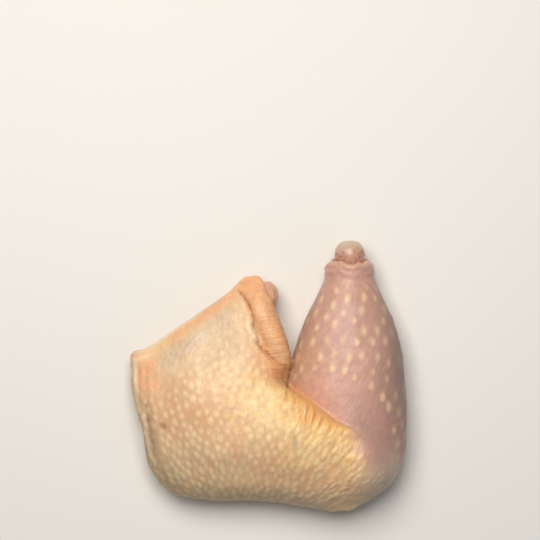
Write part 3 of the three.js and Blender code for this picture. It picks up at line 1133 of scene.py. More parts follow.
@dataclass(frozen=True)
class Tint:
    """A colour laid over the skin as far as a mark says, with an edge that the flecks make uneven."""

    mark: str
    shade: str
    uneven: float = 0.3


@dataclass(frozen=True)
class SkinFinish:
    """Raw chicken skin: cream fat under thin skin, peach where it is thin over meat, orange in its folds,
    with painted shade in its folds, crease, hollows and lower rims.
    """

    flesh: Flesh = Flesh(soft=0.22, wet=0.22, wet_roughness=0.22)
    cream: str = "f1d1a2"
    peach: str = "edc198"
    bump: str = "fde7ba"
    bump_thin: str = "f3d0a2"
    ring: str = "b98a63"
    valley: float = 0.26
    body: float = 0.36
    pore: float = 0.12
    net_cells: float = 620.0
    arc_relief: float = 0.0005  # the reliefs are in metres
    streak_relief: float = 0.0003
    roll_relief: float = 0.00025
    net_relief: float = 0.00004
    grain_relief: float = 0.00009
    under: tuple[Tint, ...] = (
        Tint("rosy", "dfa988", 0.35),
        Tint("fat", "fdd588", 0.35),
        Tint("taut", "d9bfa4"),
        Tint("warm", "f3b07e", 0.2),
        # painted shade: an olive grey along the lower side and the lower left of the thigh
        Tint("olive", "a99a80", 0.3),
        Tint("thin", "cf9f8f", 0.2),
        Tint("salmon", "dfa287", 0.15),
        Tint("tan", "dcab78", 0.3),
        Tint("mauve", "ab8478"),
        Tint("lip", "ffc77c", 0.2),
        # painted shade in the hollow under the roll and along the roll's right edge
        Tint("painted_pit_shade", "d08a5c"),
    )
    over: tuple[Tint, ...] = (
        # painted shade in the valleys of the pleats
        Tint("groove", "eba862", 0.2),
        Tint("knee", "c0ad9c", 0.2),
        # painted highlight on the ridges of the outer side, and a pale line along the cut edge
        Tint("pale", "f0dfbe"),
        # painted shade in the flap's fold, the tuck, the crevice beside the roll and the grooves of the side
        Tint("fold", "8a4f33"),
        # painted shade in the crease between thigh and drumstick
        Tint("crease", "e0905a", 0.1),
        # painted shade on the rims where the thigh turns down
        Tint("painted_rim_shade", "927b5c", 0.08),
        # painted shade on the drumstick's flanks, stronger on its right side
        Tint("painted_flank_shade", "7f6c66", 0.08),
        Tint("vein", "8f9c7c"),
        Tint("spot", "ad6a4c"),
    )

    def material(self, effects: SharedEffects) -> bpy.types.Material:
        """Builds the skin: colours laid over each other by the marks, then moisture and fine relief."""
        material, bench = blank_material("skin_raw_chicken")
        place = bench.place()
        mottle = bench.group(effects.mottle, Place=place, Broad=75.0, Small=300.0)
        flecks = mottle["Flecks"]
        tone = bench.mix(mottle["Clouds"], colour(self.cream), colour(self.peach))
        tone = self._laid(bench, tone, self.under, flecks)
        fan = bench.stretched(bench.attribute("fan", vector=True), (0.75, 0.2, 1.0))
        streak_shade = bench.range(bench.noise(fan, 1.0, 3.0, 0.6), 0.3, 0.7, (0.95, 1.04))
        shade = bench.product(bench.range(flecks, 0.0, 1.0, (0.93, 1.05)), streak_shade)
        tone = bench.mix(1.0, tone, bench.grey(shade), "MULTIPLY")
        tone = self._dotted(bench, tone, flecks)
        tone = self._laid(bench, tone, self.over, flecks)
        film = bench.group(effects.moisture, Place=place, Dull=0.58, Smooth=0.4, Grain=1400.0)
        self.flesh.cover(bench, tone, film["Roughness"], self._relief(bench, place, film["Height"]))
        return material

    @staticmethod
    def _laid(bench: Bench, tone: Socket, tints: tuple[Tint, ...], flecks: Socket) -> Socket:
        """Lays tints over a colour: each by its mark, which the flecks move where it is partly there."""
        for tint in tints:
            swing = bench.product(bench.range(flecks, 0.0, 1.0, (-0.6, 0.6)), tint.uneven)
            share = bench.attribute(tint.mark)
            room = bench.product(share, bench.math("SUBTRACT", 1.0, share), 4.0)
            share = bench.math("ADD", share, bench.product(room, swing), clamp=True)
            tone = bench.mix(share, tone, colour(tint.shade))
        return tone

    def _dotted(self, bench: Bench, tone: Socket, flecks: Socket) -> Socket:
        """Colours the follicles: a pale top, a darker valley round it and a small pore."""
        bumps, thin = bench.attribute("follicle"), bench.attribute("thin")
        valley = bench.product(bench.math("SUBTRACT", bench.attribute("follicle_area"), bumps), self.valley)
        valley = bench.product(valley, bench.range(thin, 0.0, 1.0, (1.0, 0.3)))
        tone = bench.mix(valley, tone, colour(self.ring))
        body = bench.math("MULTIPLY_ADD", thin, self.body, self.body)
        body = bench.product(body, bench.range(flecks, 0.0, 1.0, (0.8, 1.1)))
        top = bench.mix(thin, colour(self.bump), colour(self.bump_thin))
        tone = bench.mix(bench.product(bench.range(bumps, 0.0, 0.9), body), tone, top)
        return bench.mix(bench.product(self._pore(bench, bumps), self.pore), tone, colour(self.ring))

    @staticmethod
    def _pore(bench: Bench, bumps: Socket) -> Socket:
        """Gives the small opening towards one end of each follicle."""
        parts = bench.node("ShaderNodeSeparateXYZ")
        bench.feed(parts.inputs[0], bench.attribute("follicle_place", vector=True))
        away = bench.math("ADD", parts.outputs[0], -0.55)
        square = bench.math("ADD", bench.math("POWER", away, 2.0), bench.math("POWER", parts.outputs[1], 2.0))
        return bench.product(bench.range(square, 0.2, 0.02), bumps)

    def _relief(self, bench: Bench, place: Socket, grain: Socket) -> Socket:
        """Lays the fine relief: arcs, streaks along the pleats, creases of the roll, a net and grain."""
        crossing = bench.stretched(bench.attribute("roll_place", vector=True), (0.62, 0.07, 1.0), 14.0)
        creases = bench.range(bench.noise(crossing, 1.0, 3.0, 0.55), 0.36, 0.62)
        creases = bench.product(creases, bench.attribute("roll"))
        radius = bench.node("ShaderNodeCombineXYZ")
        bench.feed(radius.inputs[0], bench.product(bench.attribute("arc_radius"), 0.45))
        bent = bench.node("ShaderNodeVectorMath", operation="ADD")
        bench.feed(bent.inputs[0], radius.outputs[0])
        bench.feed(bent.inputs[1], bench.stretched(place, (30.0, 30.0, 30.0)))
        arcs = bench.product(bench.noise(bent.outputs[0], 1.0, 1.0), bench.attribute("taut"))
        net = bench.range(bench.cells(place, self.net_cells, "DISTANCE_TO_EDGE"), 0.0, 0.16)
        fan = bench.stretched(bench.attribute("fan", vector=True), (0.8, 0.22, 1.0))
        normal = bench.bumped(arcs, self.arc_relief)
        normal = bench.bumped(bench.noise(fan, 1.0, 3.0, 0.55), self.streak_relief, normal)
        normal = bench.bumped(creases, self.roll_relief, normal)
        normal = bench.bumped(net, self.net_relief, normal)
        return bench.bumped(grain, self.grain_relief, normal)


@dataclass(frozen=True)
class MeatFinish:
    """Raw dark meat: pink-red fibres, pale membrane in the seams and fat near the skin."""

    flesh: Flesh = Flesh(soft=0.3, wet=0.5, wet_roughness=0.12)
    pink: str = "dd9a8a"
    red: str = "c06a5e"
    deep: str = "93443f"
    membrane: str = "efd6ca"
    fat: str = "f3d8b0"
    grain: Triple = (160.0, 1500.0, 700.0)  # strands in a metre, across and along
    grain_turn: float = -41.0
    strand_relief: float = 0.00035  # the reliefs are in metres
    grain_relief: float = 0.00012

    def material(self, effects: SharedEffects, name: str) -> bpy.types.Material:
        """Builds the meat: fibres as noise drawn out along the grain, with membrane and fat by the marks."""
        material, bench = blank_material(name)
        place = bench.place()
        mottle = bench.group(effects.mottle, Place=place, Broad=60.0, Small=210.0)
        fibres = bench.noise(bench.stretched(place, self.grain, -self.grain_turn), 1.0, 4.0, 0.6)
        strands = bench.range(fibres, 0.32, 0.68)
        tone = bench.mix(mottle["Clouds"], colour(self.pink), colour(self.red))
        tone = bench.mix(bench.product(strands, 0.35), tone, colour(self.deep))
        tone = bench.mix(bench.product(bench.range(fibres, 0.58, 0.76), 0.4), tone, colour(self.membrane))
        seam = bench.product(bench.attribute("seam"), bench.range(mottle["Flecks"], 0, 1, (0.5, 0.9)))
        tone = bench.mix(seam, tone, colour(self.membrane))
        fat = bench.product(bench.attribute("fatty"), bench.range(mottle["Clouds"], 0.2, 0.9, (0.15, 0.85)))
        tone = bench.mix(fat, tone, colour(self.fat))
        film = bench.group(effects.moisture, Place=place, Dull=0.42, Smooth=0.26, Grain=900.0)
        normal = bench.bumped(strands, self.strand_relief)
        normal = bench.bumped(film["Height"], self.grain_relief, normal)
        self.flesh.cover(bench, tone, film["Roughness"], normal)
        return material


@dataclass(frozen=True)
class CartilageFinish:
    """Joint cartilage: a dull, warm white clouded with grey, redder towards the bone."""

    flesh: Flesh = Flesh(soft=0.4, soft_radius=(1.0, 0.6, 0.42), wet=0.3, wet_roughness=0.3)
    white: str = "d6bd9c"
    grey: str = "c3b3a8"
    blood: str = "b8705f"
    grain_relief: float = 0.00008  # metres

    def material(self, effects: SharedEffects) -> bpy.types.Material:
        """Builds the cartilage: white clouded with grey, and blood where the mark says."""
        material, bench = blank_material("joint_cartilage")
        place = bench.place()
        mottle = bench.group(effects.mottle, Place=place, Broad=150.0, Small=600.0)
        tone = bench.mix(bench.product(mottle["Clouds"], 0.7), colour(self.white), colour(self.grey))
        stain = bench.product(bench.attribute("blood"), bench.range(mottle["Flecks"], 0, 1, (0.45, 1.0)))
        tone = bench.mix(stain, tone, colour(self.blood))
        film = bench.group(effects.moisture, Place=place, Dull=0.34, Smooth=0.2, Grain=1100.0)
        self.flesh.cover(bench, tone, film["Roughness"], bench.bumped(film["Height"], self.grain_relief))
        return material


# --- sub-assemblies -------------------------------------------------------------------------------


# fat that shows pale through the frilled edge below the knee
PALE_FRILL = Patch(40, -63, 9, 2.4, 8, 0.8)


@dataclass(frozen=True)
class Levels:
    """Heights over the board, in millimetres, between which each effect on the skin comes in."""

    frills: Span = (2.0, 6.0)
    frills_end: Span = (20.0, 26.0)
    follicles: Span = (3.0, 7.0)
    relief: Span = (4.0, 10.0)
    side_folds: Span = (5.0, 9.0)
    shades: Span = (5.0, 14.0)
    flap_tip: Span = (6.0, 12.0)
    cut_rim: Span = (7.0, 12.0)
    cut_strip: Span = (8.0, 14.0)
    # painted shade on the rims, the flanks and the lower side grows between these heights
    painted_rim_shade: Span = (8.0, 19.0)
    crevice: Span = (11.0, 17.0)
    knee: Span = (12.0, 20.0)
    roll: Span = (14.0, 20.0)
    crease: Span = (14.0, 20.0)
    soft_spots: Span = (17.0, 21.0)
    top: Span = (18.0, 22.0)
    lip: Span = (18.0, 24.0)


@dataclass
class LegSkin:
    """The whole skin of thigh, drumstick and flap as one closed body. Sizes are in millimetres."""

    thigh: Thigh
    drumstick: Drumstick
    roll: FlapRoll
    knee: Knee = Knee()
    pleats: Pleats = Pleats()
    follicles: Follicles = Follicles()
    finish: SkinFinish = SkinFinish()
    levels: Levels = Levels()

    # lines seen from above
    fold_line: PlanLine = PlanLine(
        ((-15.6, 45), (-14, 42.4), (-12, 40.6), (-10.6, 38), (-9.2, 35.2), (-8, 32.2), (-7.6, 28.7),
         (-7.3, 25.1), (-6, 22.8), (-4.8, 20.8), (-5, 18))
    )  # fmt: skip
    tuck_line: PlanLine = PlanLine(
        ((-6.4, 18.2), (-3.4, 15.4), (-1.2, 12.8), (0.6, 10.7), (3.3, 8.3), (6.5, 6.2), (9.4, 4.6))
    )
    cut_edge: PlanLine = PlanLine(
        ((-65.6, 12.8), (-60.2, 14), (-53.4, 18.4), (-44, 25.2), (-34.7, 31.2), (-25.4, 37.6),
         (-18.6, 42.6), (-12.6, 47.6))
    )  # fmt: skip
    crease_line: PlanLine = PlanLine(
        ((9.2, -2.0), (15, -6.6), (21, -11.3), (25.2, -14.6), (29.4, -18.2), (33.6, -21.4), (37.7, -23.9),
         (42.5, -26))
    )  # fmt: skip
    crevice_line: PlanLine = PlanLine(((13.6, 12.2), (12.4, 8.9), (10.8, 3.5), (9.8, -0.4), (9.5, -3.4)))
    knee_line: PlanLine = PlanLine(
        ((36, -22), (40.8, -25.6), (43.4, -30.4), (45, -35.2), (47, -40), (51.4, -45), (60, -48.6), (72, -54))
    )
    bare_line: PlanLine = PlanLine(
        ((6, -5), (12, -1.4), (18, 2.6), (25, 6), (31, 3.4), (37, 1.8), (42.4, -1.4), (49.8, -5.6),
         (55.4, -11.2), (58, -16), (58.8, -27), (60.2, -33), (64, -44))
    )  # fmt: skip
    side_ridges: tuple[PlanLine, ...] = (
        PlanLine(((-64.4, 9), (-64.8, 0), (-64.3, -8), (-62.8, -17))),
        PlanLine(((-60.7, -17), (-59.4, -26), (-57.7, -35), (-55.2, -42))),
    )
    side_grooves: tuple[PlanLine, ...] = (
        PlanLine(((-62.6, 6), (-63.1, -3), (-62.3, -10), (-61, -17))),
        PlanLine(((-61.4, -22), (-60.4, -31), (-59.2, -37))),
        PlanLine(((-59, -12), (-57.6, -24), (-55.4, -34))),
    )
    typical_radius: float = 20.0  # turns a share of the size into a distance
    far: float = 9.0

    # relief
    swellings: tuple[tuple[float, SoftNoise], ...] = ((0.55, SoftNoise(3, 17.0)), (0.22, SoftNoise(4, 6.0)))
    soft_spots: tuple[Patch, ...] = (Patch(2.5, 5.5, 6, 9, 30), Patch(-10, 46.5, 7, 5, 0, 0.9))
    hollows: tuple[Patch, ...] = (Patch(7.4, 1.4, 3.4, 3.6, -30, 1.4), Patch(2.8, 3.6, 4.4, 2.8, -38, 0.6))
    flap_tip: Patch = Patch(-10.5, 47.8, 4, 2.4, 25, 1.2)
    fold_depth: float = 0.9
    fold_bank: float = 0.35
    side_ridge_height: float = 0.4
    side_groove_depth: float = 0.32
    side_fold_width: float = 0.85
    roll_lump_height: float = 0.5
    roll_crease_height: float = 0.12
    arc_centre: Point = (-14.0, 0.0)
    arc_pitch: float = 2.6
    arc_height: float = 0.05
    wall_fold_height: float = 0.5
    left_fold_height: float = 0.35
    frill_height: float = 0.75
    frill_place: Point = (42.0, -62.0)
    collar: float = 56.8
    collar_ridges: Span = (0.75, 0.35)
    collar_step: float = 3.2
    smooth_left: Patch = Patch(-56, 2, 9, 15, 0, 0.75)
    smooth_hollow: Patch = Patch(6, 1, 5, 5)

    # shades
    thigh_patches: dict[str, tuple[Patch, ...]] = field(default_factory=lambda: {
        "fat": (
            Patch(-4, -6, 20, 9, -15, 0.55), Patch(9, -14, 15, 9, -32, 0.85),
            Patch(24, -23, 13, 9, -38, 0.85), Patch(38, -34, 13, 8, -40, 0.55),
            Patch(-12, -17, 14, 8, 0, 0.35), Patch(14, -38, 15, 8, -10, 0.4),
            PALE_FRILL,
        ),
        "taut": (
            Patch(-49, 9, 8, 5, 45, 0.8), Patch(-37, 18, 12, 4.5, 38, 0.85),
            Patch(-23, 30, 10, 6.5, 36, 0.8), Patch(-27, 13, 17, 7, 30, 0.4),
        ),
        "warm": (
            Patch(-58.5, 2, 5.5, 11, -6, 0.75), Patch(-5, 45, 9, 7, 0, 0.6),
            Patch(-2, 6.5, 5, 7.5, 30, 0.75), Patch(-33, -18, 10, 6, 0, 0.3),
            Patch(46, -29, 7, 5, -40, 0.5),
        ),
        "rosy": (
            Patch(-37, -22, 19, 12, 0, 0.5), Patch(-46, -8, 9, 10, 0, 0.45),
            Patch(5, -46, 18, 8, 0, 0.55), Patch(-10, -34, 17, 7, 0, 0.45),
            Patch(24, -47, 14, 7, 0, 0.5), Patch(-24, 13, 5, 3, 20, 0.4),
        ),
        # painted shade along the lower side and the lower left of the thigh
        "olive": (
            Patch(-48, -46, 12, 8, -35, 0.6), Patch(-57, -27, 3, 13, 8, 0.65),
            Patch(-38, -37, 11, 8, -30, 0.4), Patch(-28, -53, 17, 4.5, -4, 0.55),
            Patch(2, -56, 22, 3.5, 0, 0.5), Patch(33, -58, 14, 4, 0, 0.4),
            Patch(-20, -42, 14, 5, 0, 0.3),
        ),
        "knee": (Patch(55, -49.5, 12, 8.5, 40, 0.8), Patch(61, -40, 5, 10, 15, 0.45)),
    })  # fmt: skip
    drumstick_patches: dict[str, tuple[Patch, ...]] = field(default_factory=lambda: {
        "salmon": (Patch(17, -5, 14, 11, -40, 0.55), Patch(29, -8, 15, 12, -35, 0.35)),
        "tan": (Patch(14, 6, 4.5, 11, -12, 0.75), Patch(21, 13, 7, 8, 0, 0.4)),
        "mauve": (
            Patch(47, -25, 8, 15, 12, 0.7), Patch(56, -8, 6, 26, 0, 0.6), Patch(58, -32, 7, 14, 0, 0.8),
            Patch(42, 32, 9, 13, 0, 0.3),
        ),
    })  # fmt: skip
    # painted shade in the hollow under the roll
    painted_hollow_shades: tuple[Patch, ...] = (
        Patch(7.2, 1.6, 4, 4.2, -30, 0.62), Patch(2.6, 4, 4.6, 2.6, -38, 0.35),
    )  # fmt: skip
    vein: Patch = Patch(12.6, -29.8, 0.9, 3, 0, 0.6)
    spots: tuple[Patch, ...] = (Patch(-50, -22.4, 3, 1.6, -42, 0.55), Patch(-21.8, -15.5, 1, 0.9, 0, 0.3))
    corner_spot: Triple = (-65.6, 12.6, 11.5)

    def __post_init__(self) -> None:
        """Melts the forms together and works out what part of the leg each point belongs to."""
        forms = [self.thigh.shell(), self.drumstick.shell(), self.roll.shell()]
        self.shell = Shell.joined(forms).remeshed(SKIN_VOXEL)
        self.marks: dict[str, Array] = {}
        self._fill_knee()
        self.x, self.y, self.z = self.shell.points.T
        self._find_drumstick()
        self._find_roll()
        self._measure_lines()

    def _fill_knee(self) -> None:
        """Fills the valley at the knee and softens the whole skin a little, more so there."""
        points = self.shell.points
        points[:, 2] += self.knee.rise(points, self.thigh, self.drumstick, self.crease_line)
        x, y, z = points.T
        width = self.knee.width(x, y) / self.knee.fill
        self.shell.relaxed(0.12 + 0.6 * width * smoothstep(z, *self.levels.knee), 8)
        soft = smoothstep(summed(self.soft_spots, x, y), 0.15, 0.8) * smoothstep(z, *self.levels.soft_spots)
        self.shell.relaxed(0.85 * soft, 80)

    def _find_drumstick(self) -> None:
        """Works out how far each point is the drumstick's: by the nearer surface, at the knee by a line."""
        points, thigh = self.shell.points, self.thigh
        x, y, z = self.x, self.y, self.z
        share = thigh.share(x, y)
        off_drumstick = np.abs(np.sqrt(self.drumstick.fullness(points)) - 1.0) * self.typical_radius
        dome = share ** thigh.flatness(thigh.turn(x, y))
        dome = dome + ((z - thigh.widest) / (thigh.crown(x, y) - thigh.widest)) ** 2
        off_thigh = np.abs(np.sqrt(dome) - 1.0) * self.typical_radius
        off_thigh = np.where(share > 1.03, self.far, off_thigh)  # well outside the thigh's outline
        drum = smoothstep(off_thigh - off_drumstick, -0.8, 0.8) * smoothstep(x, 8.0, 13.0)
        above = z - self.drumstick.top(x, y)
        drum *= 1.0 - smoothstep(above, 0.35, 1.1) * smoothstep(z, *self.levels.top)
        past = self.knee_line.measure(x, y)[0] + 2.0 * SoftNoise(12, 5.0).at(points)
        at_knee = smoothstep(x, 35.0, 43.0) * smoothstep(-y, 19.5, 25.5)
        self.drum = blend(at_knee, drum, smoothstep(past, -6.0, 6.0))
        self.off_drum = 1.0 - self.drum

    def _find_roll(self) -> None:
        """Works out how far each point belongs to the flap's roll, and its place along and across it."""
        across, along = self.roll.line().measure(self.x, self.y)
        half_width = blend(np.clip(along / 57.0, 0.0, 1.0), *self.roll.half_widths)
        body = 1.0 - smoothstep(np.abs(across) - half_width, -1.4, 0.6)
        on_top = smoothstep(self.z, *self.levels.roll)
        self.on_roll = body * on_top * (1.0 - smoothstep(along, 46.0, 56.0)) * self.off_drum
        self.off_roll = 1.0 - self.on_roll
        self.roll_place = np.stack([along, across, self.z * 0.0], -1)

    def _measure_lines(self) -> None:
        """Measures each point's distance from the folds and edges."""
        x, y = self.x, self.y
        self.fold_distance = np.abs(self.fold_line.measure(x, y)[0])
        self.tuck_distance = np.abs(self.tuck_line.measure(x, y)[0])
        self.cut_distance = np.abs(self.cut_edge.measure(x, y)[0])
        self.crease_distance, self.crease_along = self.crease_line.measure(x, y)
        self.tuck_end = 1.0 - 0.85 * smoothstep(x, 1.5, 7.0)
        self.arc_radius = np.hypot(x - self.arc_centre[0], y - self.arc_centre[1])

    def _near(self, lines: tuple[PlanLine, ...], width: float) -> Array:
        """Gives the bell across the nearest of some lines."""
        return bell(np.min([np.abs(line.measure(self.x, self.y)[0]) for line in lines], axis=0), width)

    def shape(self) -> None:
        """Adds everything that stands in relief: swellings, folds, pleats, the collar and the follicles."""
        points, normals = self.shell.points, self.shell.normals()
        relief = smoothstep(self.z, *self.levels.relief)
        swelling = sum(rise * noise.at(points) for rise, noise in self.swellings)
        height = swelling * (relief * (1.0 - 0.5 * self.drum))
        height += self._folds() + self._roll_relief(points)

        arcs = np.sin(2.0 * math.pi * self.arc_radius / self.arc_pitch + 3.0 * SoftNoise(6, 11.0).at(points))
        on_thigh = self.off_drum * self.off_roll
        self.taut = patched(self.thigh_patches["taut"], self.x, self.y) * on_thigh * relief
        height += self.arc_height * arcs * smoothstep(self.taut, 0.25, 0.7)

        pleats, self.groove = self.pleats.relief(points, on_thigh)
        self.shell.points = points + normals * (height + pleats)[:, None]
        self._shape_edges(normals)
        self._shape_collar()
        self._raise_follicles()

    def _folds(self) -> Array:
        """Gives the height of the folds: sunk lines with a bank beside them, hollow, tip and outer side."""
        x, y, z = self.x, self.y, self.z
        fold = bell(self.fold_distance, 0.75) * smoothstep(y, 17.0, 24.0)
        tuck = bell(self.tuck_distance, 0.8) * smoothstep(x, -6.0, -2.0) * self.tuck_end
        bank = np.maximum(bell(self.fold_distance - 2.4, 1.4), bell(self.tuck_distance - 2.2, 1.4))
        height = self.fold_bank * bank - self.fold_depth * np.maximum(fold, tuck)
        height -= summed(self.hollows, x, y)
        height *= smoothstep(z, *self.levels.top) * self.off_drum
        height += self.flap_tip.over(x, y) * smoothstep(z, *self.levels.flap_tip)
        ridges = self.side_ridge_height * self._near(self.side_ridges, self.side_fold_width)
        grooves = self.side_groove_depth * self._near(self.side_grooves, self.side_fold_width)
        return height + (ridges - grooves) * smoothstep(z, *self.levels.side_folds)

    def _roll_relief(self, points: Array) -> Array:
        """Gives the roll's lumps and its creases, which are noise drawn out across it."""
        lumps = SoftNoise(9, 7.0).at(self.roll_place * (1.0, 0.6, 1.0))
        creases = SoftNoise(10, 2.6, 1).at(self.roll_place * (1.0, 0.14, 1.0) + points * (0.2, 0.2, 0.0))
        return self.on_roll * (self.roll_lump_height * lumps + self.roll_crease_height * creases)

    def _shape_edges(self, normals: Array) -> None:
        """Adds frills and wrinkles along the lower edge and the outer side, as noise drawn out along them."""
        x, y, z = self.x, self.y, self.z
        turn = self.thigh.turn(x, y)
        side = smoothstep(self.thigh.share(x, y), 0.9, 1.0) * smoothstep(z, *self.levels.frills)
        side *= 1.0 - smoothstep(z, *self.levels.frills_end)
        folds = SoftNoise(21, 5.0).at(np.stack([turn * 16.0, z * 0.0, z * 1.6], -1))
        frills = SoftNoise(22, 1.7).at(np.stack([turn * 34.0, z * 0.3, z * 0.6], -1))
        at_knee = bell(np.hypot(x - self.frill_place[0], y - self.frill_place[1]), 14.0)
        at_left = smoothstep(-x, 48.0, 60.0)
        height = self.wall_fold_height * folds * self.off_drum
        height += self.frill_height * at_knee * frills + self.left_fold_height * at_left * folds
        self.shell.points = self.shell.points + normals * (side * height)[:, None]

    def _shape_collar(self) -> None:
        """Rolls the skin's cut edge round the hock: a ridge, then a step in, with an uneven run."""
        x, y, z = self.x, self.y, self.z
        middle, level, _, _ = self.drumstick.section(y)
        turn = np.arctan2(z - level, x - middle)
        uneven = 0.9 * np.sin(3.0 * turn + 0.6) + 0.5 * np.sin(7.0 * turn) + 0.3 * np.sin(13.0 * turn)
        past = y - self.collar - uneven
        outwards = np.stack([np.cos(turn), 0.0 * turn, np.sin(turn)], -1)
        ridge = self.collar_ridges[0] * bell(past + 1.6, 1.5) + self.collar_ridges[1] * bell(past + 5.5, 1.6)
        rise = (ridge - self.collar_step * smoothstep(past, -0.6, 1.0)) * smoothstep(y, 40.0, 46.0)
        self.shell.points = self.shell.points + outwards * rise[:, None]
        self.shell.points[:, 1] -= 2.0 * smoothstep(past, 0.0, 2.0)
        self.collar_edge = bell(past, 1.6)

    def _follicle_strength(self) -> Array:
        """Gives how strongly follicles may raise each point: not at folds, the roll and bare patches."""
        x, y, z = self.x, self.y, self.z
        cut = 0.12 + 0.88 * smoothstep(self.cut_distance, 9.0, 26.0)
        lip = 0.3 + 0.7 * smoothstep(-self.crease_distance, 1.5, 8.0)
        hollow = smoothstep(bell(self.tuck_distance, 4.0) + self.smooth_hollow.over(x, y), 0.3, 0.9)
        on_thigh = cut * lip * smoothstep(self.fold_distance, 2.0, 8.0) * self.off_roll
        on_thigh *= (1.0 - self.smooth_left.over(x, y)) * (1.0 - 0.9 * hollow)
        on_drumstick = smoothstep(self.bare_line.measure(x, y)[0], -0.8, 0.6)
        on_drumstick *= 1.0 - smoothstep(y, 40.0, 52.0)
        strength = blend(self.drum, on_thigh, on_drumstick) * smoothstep(z, *self.levels.follicles)
        return strength * np.clip(0.9 + 0.45 * SoftNoise(31, 16.0).at(self.shell.points), 0.3, 1.0)

    def _raise_follicles(self) -> None:
        """Raises the follicles where the skin has them, and keeps their marks."""
        x, y = self.x, self.y
        points = self.shell.points
        allowed = self._follicle_strength()
        drawn = np.maximum(smoothstep(x, 0.0, 22.0), 0.7 * smoothstep(-y, 20.0, 45.0))
        fan = self.pleats.fan(x, y)[0] / 100.0
        lean = np.stack([blend(self.drum, -np.tan(fan), -0.1), np.full(x.shape, -1.0), 0.0 * x], -1)
        rise, share, place = self.follicles.raised(self.shell, allowed, self.drum, lean, drawn)
        self.shell.points = points + self.shell.normals() * (rise - 0.1 * allowed)[:, None]
        self.marks["follicle"] = share
        self.marks["follicle_area"] = np.clip(allowed, 0.0, 1.0)
        self.marks["follicle_place"] = np.stack([place[:, 0], place[:, 1], 0.0 * share], -1)

    def paint(self) -> None:
        """Works out the marks that the skin's colours follow."""
        self._mark_patches()
        self._mark_crease()
        self._mark_folds()
        self._mark_rims()
        x, y, z = self.x, self.y, self.z
        corner_x, corner_y, corner_z = self.corner_spot
        corner = 0.7 * bell(z - corner_z, 3.5) * bell(np.hypot(x - corner_x, y - corner_y), 3.2)
        self.marks |= {
            "vein": self.vein.over(x, y),
            "spot": summed(self.spots, x, y) + corner,
            "fan": np.stack([*self.pleats.fan(x, y), 0.3 * z], -1),
            "roll": self.on_roll,
            "roll_place": self.roll_place,
            "arc_radius": self.arc_radius,
        }

    def _mark_patches(self) -> None:
        """Marks the broad patches of colour on thigh and drumstick, and the skin that is thin or tight."""
        x, y, z = self.x, self.y, self.z
        marks = self.marks
        for name, patches in self.thigh_patches.items():
            marks[name] = patched(patches, x, y) * self.off_drum * smoothstep(z, *self.levels.shades)
        for name, patches in self.drumstick_patches.items():
            marks[name] = patched(patches, x, y) * self.drum
        marks["knee"] = patched(self.thigh_patches["knee"], x, y) * smoothstep(z, 2.0, 8.0)
        marks["thin"] = self.drum * (1.0 - 0.35 * self.collar_edge)
        marks["taut"] = self.taut
        strip = 0.7 * bell(self.cut_distance - 2.0, 3.2) * smoothstep(z, *self.levels.cut_strip)
        strip *= smoothstep(x, -58.0, -40.0)
        on_roll = 0.72 * self.on_roll * self.off_drum
        marks["warm"] = 1.0 - (1.0 - marks["warm"]) * (1.0 - strip) * (1.0 - on_roll)

    def _mark_crease(self) -> None:
        """Marks the bright lip of the thigh's skin and painted shade in the crease beside it, on the
        drumstick's side.
        """
        along = self.crease_along
        lip = bell(np.minimum(self.crease_distance, 0.0) + 1.5, 4.2) * smoothstep(self.z, *self.levels.lip)
        ends = smoothstep(along, 0.5, 5.0) * (1.0 - 0.75 * smoothstep(along, 30.0, 39.0))
        self.marks["lip"] = 0.9 * lip * self.off_drum * ends * self.off_roll
        # painted shade in the crease, just on the drumstick's side
        crease = bell(self.crease_distance - 0.7, 1.6) * smoothstep(self.z, *self.levels.crease)
        ends = smoothstep(along, 0.0, 3.0) * (1.0 - smoothstep(along, 27.0, 39.0))
        self.marks["crease"] = 0.62 * crease * ends

    def _mark_folds(self) -> None:
        """Marks painted shade in the hollow under the roll, the folds, the pleats and the grooves of the
        side, and painted highlight on the ridges between them.
        """
        x, y, z = self.x, self.y, self.z
        top = smoothstep(z, *self.levels.top)
        side_level = smoothstep(z, *self.levels.side_folds)
        # painted shade in the hollow under the roll, along the tuck and on the roll's right edge
        hollow = summed(self.painted_hollow_shades, x, y) + 0.5 * bell(self.tuck_distance, 1.3) * top * self.tuck_end
        painted_roll_edge_shade = 0.45 * smoothstep(self.roll_place[:, 1], 4.4, 6.8) * self.on_roll
        self.marks["painted_pit_shade"] = np.clip(hollow * self.off_drum + painted_roll_edge_shade, 0.0, 1.0)
        # painted shade in the valleys of the pleats
        self.marks["groove"] = self.groove
        # painted shade in the folds, the crevice beside the roll and the grooves of the side
        fold = 0.75 * bell(self.fold_distance, 0.55) + 0.3 * bell(self.tuck_distance, 0.45) * self.tuck_end
        crevice = 0.9 * bell(self.crevice_line.measure(x, y)[0], 0.85) * smoothstep(z, *self.levels.crevice)
        crevice *= 1.0 - smoothstep(y, 6.5, 11.0)
        sides = 0.3 * self._near(self.side_grooves, 0.7) * side_level
        self.marks["fold"] = np.clip(np.maximum(fold * top * self.off_drum, crevice) + sides, 0.0, 1.0)
        # a pale line along the cut edge, and painted highlight on the ridges of the side
        rim = bell(self.cut_distance - 0.4, 1.0) * smoothstep(z, *self.levels.cut_rim)
        rim *= 1.0 - smoothstep(x, -40.0, -26.0)
        self.marks["pale"] = 0.6 * np.maximum(self._near(self.side_ridges, 0.9) * side_level, rim)

    def _mark_rims(self) -> None:
        """Marks painted shade where thigh and drumstick turn down, fading out below the widest level."""
        x, y, z = self.x, self.y, self.z
